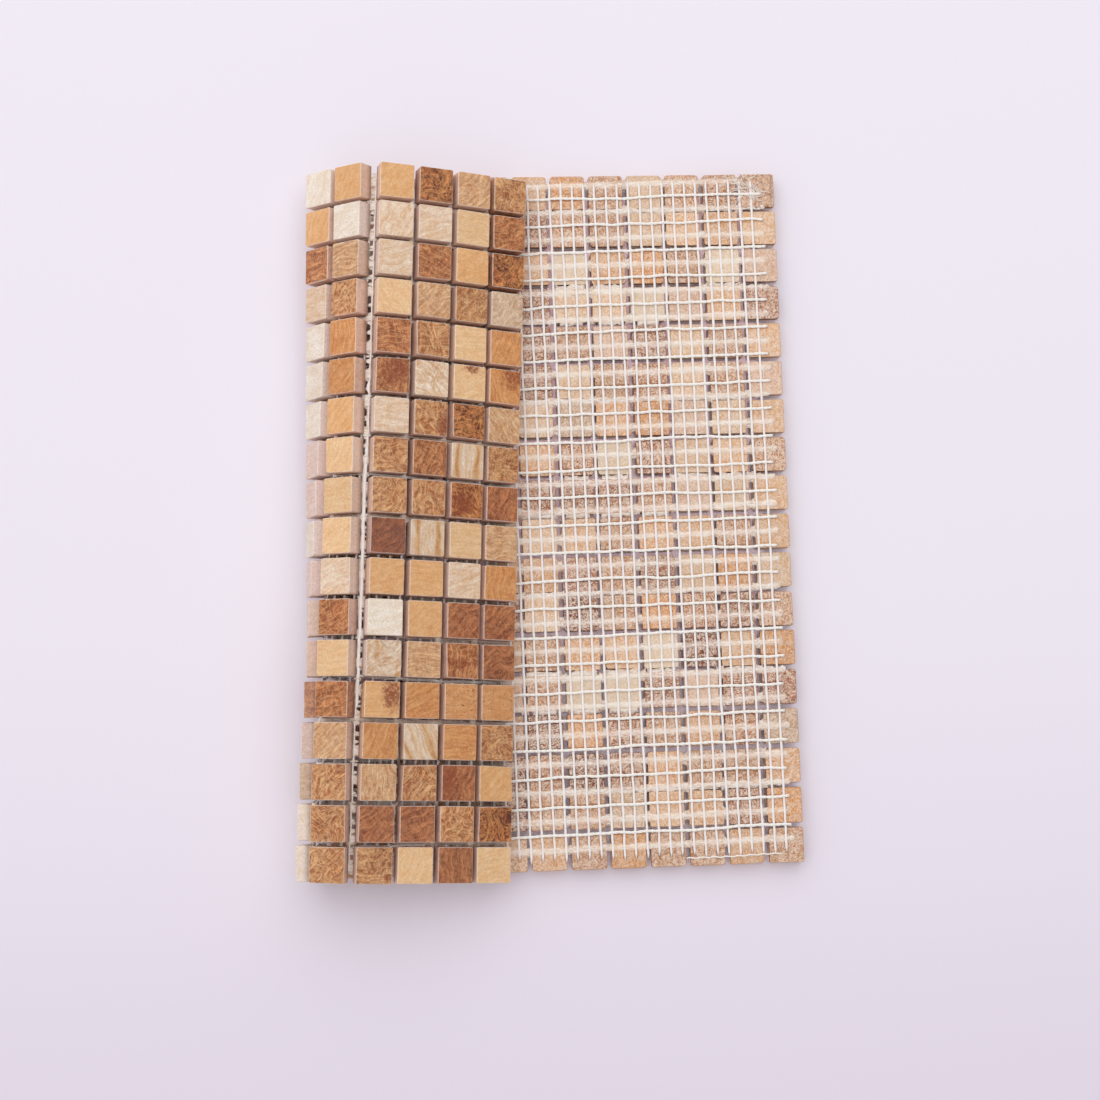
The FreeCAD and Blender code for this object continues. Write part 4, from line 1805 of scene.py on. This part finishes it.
    def add_lumps(self, bm: BMesh, lot: Random) -> None:
        """Adds the lumps in which some rovings end.

        Args:
            bm: the mesh.
            lot: the draws that make lumps differ.
        """
        for number in range(0, LAY.wefts, 2):
            if lot.random() < self.lump_share:
                radius = lot.uniform(*self.lump_size)
                along = (LAY.right_end + lot.uniform(*self.lump_scatter)) * MM
                across = max(LAY.weft(number, along / MM) * MM, radius + self.lump_margin)
                size = radius, radius, self.lump_height
                self.add_lump(bm, (along, across, self.lump_level), size, lot)

    def add_lump(self, bm: BMesh, place: Triple, size: Triple, lot: Random) -> None:
        """Adds one lump of glue.

        Args:
            bm: the mesh.
            place: where its middle lies along, across and above the backs.
            size: how far it reaches from there in those directions.
            lot: the draws that shape it.
        """
        phase, (rate, ragged) = Vector((self.maker.phase(lot), 0, 0)), self.lump_ragged
        lump = self.maker.start()
        edge = lump.verts.layers.float["edge"]
        around, up = self.lump_cells
        bmesh.ops.create_uvsphere(lump, u_segments=around, v_segments=up, radius=1.0)
        for vertex in lump.verts:
            spot = vertex.co
            vertex[edge] = 1.0 - spot.xy.length * self.lump_thin
            wide = 1 + ragged * noise.noise(spot * rate + phase)
            vertex.co = (place[0] + spot.x * size[0] * wide, place[1] + spot.y * size[1] * wide,
                         place[2] + spot.z * size[2])
        self.maker.lay(lump, bm, swap=False)


@dataclass(frozen=True)
class CrumbFinish:
    """Dried glue full of stone crumbs and short fibres. Marks are in millimetres."""

    ground: Colour = paint(218, 176, 146)
    dark: Colour = paint(182, 130, 98)
    pale: Colour = paint(240, 220, 202)
    crack: Colour = paint(140, 84, 58)
    crumbs: Mark = Mark(0.50, 5.0, 0.72, (0.50, 0.38))
    dark_share: float = 0.85
    pale_span: Pair = (0.54, 0.64)
    pale_share: float = 0.8
    curls: Mark = Mark(0.40, 3.0, 0.6, (0.0, 0.075), swirl=1.6)
    curl_share: float = 0.6
    cracks: Mark = Mark(0.24, 3.0, 0.6, (0.0, 0.035), swirl=1.2, offset=(9.0, 4.0, 2.0))
    crack_share: float = 0.7
    roughness: float = 0.9
    relief_depth: float = 0.45 * MM
    relief_strength: float = 0.9

    def material(self, name: str) -> Material:
        """The finish as a material.

        Args:
            name: the material's name.

        Returns:
            The material.
        """
        tree = Tree(name)
        run = tree.attribute("run", "Vector")
        crumbs = tree.noise(run, self.crumbs)
        colour = tree.mix(tree.spread(crumbs, *self.crumbs.span, 0.0, self.dark_share), self.ground,
                          self.dark)
        colour = tree.mix(tree.spread(crumbs, *self.pale_span, 0.0, self.pale_share), colour, self.pale)
        colour = tree.mix(tree.lines(run, self.curls, self.curl_share), colour, self.pale)
        colour = tree.mix(tree.lines(run, self.cracks, self.crack_share), colour, self.crack)
        tree.feed(tree.shader.inputs["Base Color"], colour)
        tree.shader.inputs["Roughness"].default_value = self.roughness
        tree.bump(crumbs, self.relief_depth, self.relief_strength)
        return tree.material


@dataclass
class CornerFray:
    """The frayed patch of glue and loose fibres on the free back corner."""

    maker: YarnMaker
    middle: Pair = (8.6 * MM, 8.4 * MM)
    size: Pair = (14.6 * MM, 14.0 * MM)
    cells: int = 22
    thickness: float = 0.1 * MM
    ragged: float = 1.3 * MM
    ragged_rate: float = 0.5
    height: float = 0.55 * MM
    relief: Triple = (0.55, 0.6, 0.9)
    margin: float = 0.35 * MM
    fibres: int = 46
    fibre_width: float = 0.42 * MM
    fibre_length: Pair = (2.5 * MM, 6.5 * MM)
    fibre_step: float = 0.6 * MM
    fibre_sides: int = 3
    fibre_curl: float = 2.2
    fibre_along: Pair = (-0.05, 0.5)
    fibre_across: Pair = (-0.5, 0.3)
    fibre_level: Pair = (0.35 * MM, 0.8 * MM)
    seed: int = 77
    crumbs: CrumbFinish = CrumbFinish()
    finish: YarnFinish = YarnFinish(paint(248, 240, 230), paint(222, 206, 190))

    def build(self) -> None:
        """Builds and dresses the patch and its fibres."""
        lot = Random(self.seed)
        bm = self.maker.start()
        film = self.maker.sheet_of_glue(self.middle, self.size, (self.cells, self.cells))
        level, relief, rate = self.relief
        for vertex in film.verts:
            spot = vertex.co / MM
            push = noise.noise_vector(spot * self.ragged_rate) * self.ragged
            vertex.co.x = max(vertex.co.x + push.x, self.margin)
            vertex.co.y = max(vertex.co.y + push.y, self.margin)
            vertex.co.z = (level + relief * noise.noise(spot * rate)) * self.height
        bmesh.ops.solidify(film, geom=film.faces, thickness=self.thickness)
        self.maker.lay(film, bm, swap=False)
        for _ in range(self.fibres):
            self.add_fibre(bm, lot)
        materials = [self.crumbs.material("corner_crumbs"), self.finish.material("corner_fibres")]
        finished(bm, "corner_fray", materials)

    def add_fibre(self, bm: BMesh, lot: Random) -> None:
        """Adds one loose curly fibre, with the second of the piece's materials.

        Args:
            bm: the mesh.
            lot: the draws that place and curl it.
        """
        length, turn = lot.uniform(*self.fibre_length), lot.uniform(0, math.tau)
        curl = lot.uniform(-self.fibre_curl, self.fibre_curl) / length
        start = [middle + lot.uniform(*spread) * size for middle, spread, size
                 in zip(self.middle, (self.fibre_along, self.fibre_across), self.size)]
        lift = lot.uniform(*self.fibre_level)
        rod = self.maker.spin(0.0, length, self.fibre_sides, self.fibre_step)
        for vertex in rod.verts:
            reach, y, z = vertex.co
            angle, aside = turn + curl * reach / 2, y * self.fibre_width
            along = start[0] + math.cos(angle) * reach - math.sin(angle) * aside
            across = start[1] + math.sin(angle) * reach + math.cos(angle) * aside
            vertex.co = (max(along, self.margin), max(across, self.margin), lift + z * self.fibre_width)
        for face in rod.faces:
            face.material_index = 1
        self.maker.lay(rod, bm, swap=False)


@dataclass
class Studio:
    """The floor, the light and the camera.

    Where the floor shows through the joints it is painted whiter as painted light, and the camera alone
    sees a weak painted glow on it, stronger towards the back. The glow lights nothing. Towards the front
    the floor is painted darker, a painted shade.
    """

    floor_size: float = 6.0
    floor_turn: Pair = (-0.30, -0.02)
    floor_front_shaded: Colour = paint(233, 223, 236)
    floor_far: Colour = paint(243, 237, 246)
    floor_under_painted_light: Colour = paint(254, 247, 254)
    floor_roughness: float = 0.7
    floor_specular: float = 0.2
    under_glow: Colour = paint(255, 184, 186)
    under_strength: Pair = (0.03, 0.24)
    under_width: float = 91 * MM
    under_depth: float = 146 * MM
    under_shift: float = 7 * MM
    key_place: Triple = (-0.10, 0.85, 1.65)
    key_size: float = 3.2
    key_power: float = 30.0
    sky: Colour = (0.98, 0.97, 1.0)
    sky_left: float = 0.82
    sky_right: float = 0.30
    camera_place: Triple = (-50.938 * MM, -103.457 * MM, 827.170 * MM)
    camera_turn: Triple = (6.4291, -3.55898, -1.8371)
    lens: float = 62.376
    sensor: float = 36.0
    far_clip: float = 20.0

    def build(self) -> None:
        """Builds the floor, lights and camera and sets the view."""
        self.lay_floor()
        self.light()
        self.aim_camera()
        bpy.context.scene.view_settings.view_transform = "Standard"

    def lay_floor(self) -> None:
        """Lays the pale floor: painted shade darkens it towards the front, and painted light whitens it
        where it shows through the joints.
        """
        bm = bmesh.new()
        bmesh.ops.create_grid(bm, x_segments=1, y_segments=1, size=self.floor_size / 2)
        mesh = bpy.data.meshes.new("floor")
        bm.to_mesh(mesh)
        bm.free()
        floor = bpy.data.objects.new("floor", mesh)
        bpy.context.scene.collection.objects.link(floor)
        tree = Tree("pale_floor")
        split = tree.nodes.new("ShaderNodeSeparateXYZ")
        tree.feed(split.inputs[0], tree.nodes.new("ShaderNodeTexCoord").outputs["Object"])
        right, back = split.outputs["X"], split.outputs["Y"]
        aside = tree.math("ABSOLUTE", tree.minus(right, self.under_shift))
        covered = tree.times(tree.math("LESS_THAN", aside, self.under_width),
                             tree.math("LESS_THAN", tree.math("ABSOLUTE", back), self.under_depth))
        # painted shade: the floor darkens towards the front
        colour = tree.mix(tree.spread(back, *self.floor_turn), self.floor_front_shaded, self.floor_far)
        # painted light: the floor under the sheet is whiter, so the joints look lit
        colour = tree.mix(covered, colour, self.floor_under_painted_light)
        tree.feed(tree.shader.inputs["Base Color"], colour)
        # painted glow, seen by the camera only, brighter towards the back
        seen = tree.nodes.new("ShaderNodeLightPath").outputs["Is Camera Ray"]
        glow = tree.spread(back, -self.under_depth, self.under_depth, *self.under_strength)
        glow = tree.times(tree.times(covered, seen), glow)
        tree.feed(tree.shader.inputs["Emission Strength"], glow)
        tree.feed(tree.shader.inputs["Emission Color"], self.under_glow)
        tree.feed(tree.shader.inputs["Roughness"], self.floor_roughness)
        tree.feed(tree.shader.inputs["Specular IOR Level"], self.floor_specular)
        mesh.materials.append(tree.material)

    def light(self) -> None:
        """Sets a soft key light behind and a pale sky that is brighter on the left."""
        lamp = bpy.data.lights.new("key", "AREA")
        lamp.size = self.key_size
        lamp.energy = self.key_power
        key = bpy.data.objects.new("key", lamp)
        key.location = self.key_place
        key.rotation_euler = Vector(self.key_place).to_track_quat("Z", "Y").to_euler()
        bpy.context.scene.collection.objects.link(key)
        world = bpy.data.worlds.new("studio")
        bpy.context.scene.world = world
        world.use_nodes = True
        nodes = world.node_tree.nodes
        nodes.clear()
        aim, split, slope, path, either, even, seen, blend, output = (
            nodes.new(f"ShaderNode{kind}") for kind in (
                "TexCoord", "SeparateXYZ", "MapRange", "LightPath", "Math", "Background", "Background",
                "MixShader", "OutputWorld"))
        even.inputs["Color"].default_value = (*self.sky, 1.0)
        slope.inputs["From Min"].default_value = -1.0
        slope.inputs["To Min"].default_value = self.sky_left
        slope.inputs["To Max"].default_value = self.sky_right
        seen.inputs["Color"].default_value = (*self.floor_far, 1.0)
        seen.inputs["Strength"].default_value = 1.0
        either.operation = "MAXIMUM"
        for start, end in ((aim.outputs["Generated"], split.inputs[0]),
                           (split.outputs["X"], slope.inputs["Value"]),
                           (slope.outputs["Result"], even.inputs["Strength"]),
                           (path.outputs["Is Camera Ray"], either.inputs[0]),
                           (path.outputs["Is Glossy Ray"], either.inputs[1]),
                           (either.outputs[0], blend.inputs[0]), (even.outputs[0], blend.inputs[1]),
                           (seen.outputs[0], blend.inputs[2]),
                           (blend.outputs[0], output.inputs["Surface"])):
            world.node_tree.links.new(start, end)

    def aim_camera(self) -> None:
        """Puts the camera above the sheet, a little to its front left."""
        lens = bpy.data.cameras.new("camera")
        lens.lens = self.lens
        lens.sensor_width = self.sensor
        lens.clip_end = self.far_clip
        camera = bpy.data.objects.new("camera", lens)
        camera.location = self.camera_place
        camera.rotation_euler = Euler([math.radians(angle) for angle in self.camera_turn])
        bpy.context.scene.collection.objects.link(camera)
        bpy.context.scene.camera = camera


def main() -> None:
    """Builds the studio and every piece of the sheet."""
    noise.seed_set(NOISE_SEED)
    logging.basicConfig(level=logging.INFO, format="%(message)s")
    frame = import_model()
    Studio().build()
    bed = Bed(frame["nodes"])
    laying = Laying()
    TileRows(bed, laying).build()
    maker = YarnMaker(bed, laying)
    warps = Warps(maker)
    warps.build()
    rovings = Rovings(maker)
    rovings.build()
    TwistedYarns(maker).build()
    Glue(maker, rovings, warps).build()
    CornerFray(maker).build()


if __name__ == "__main__":
    main()
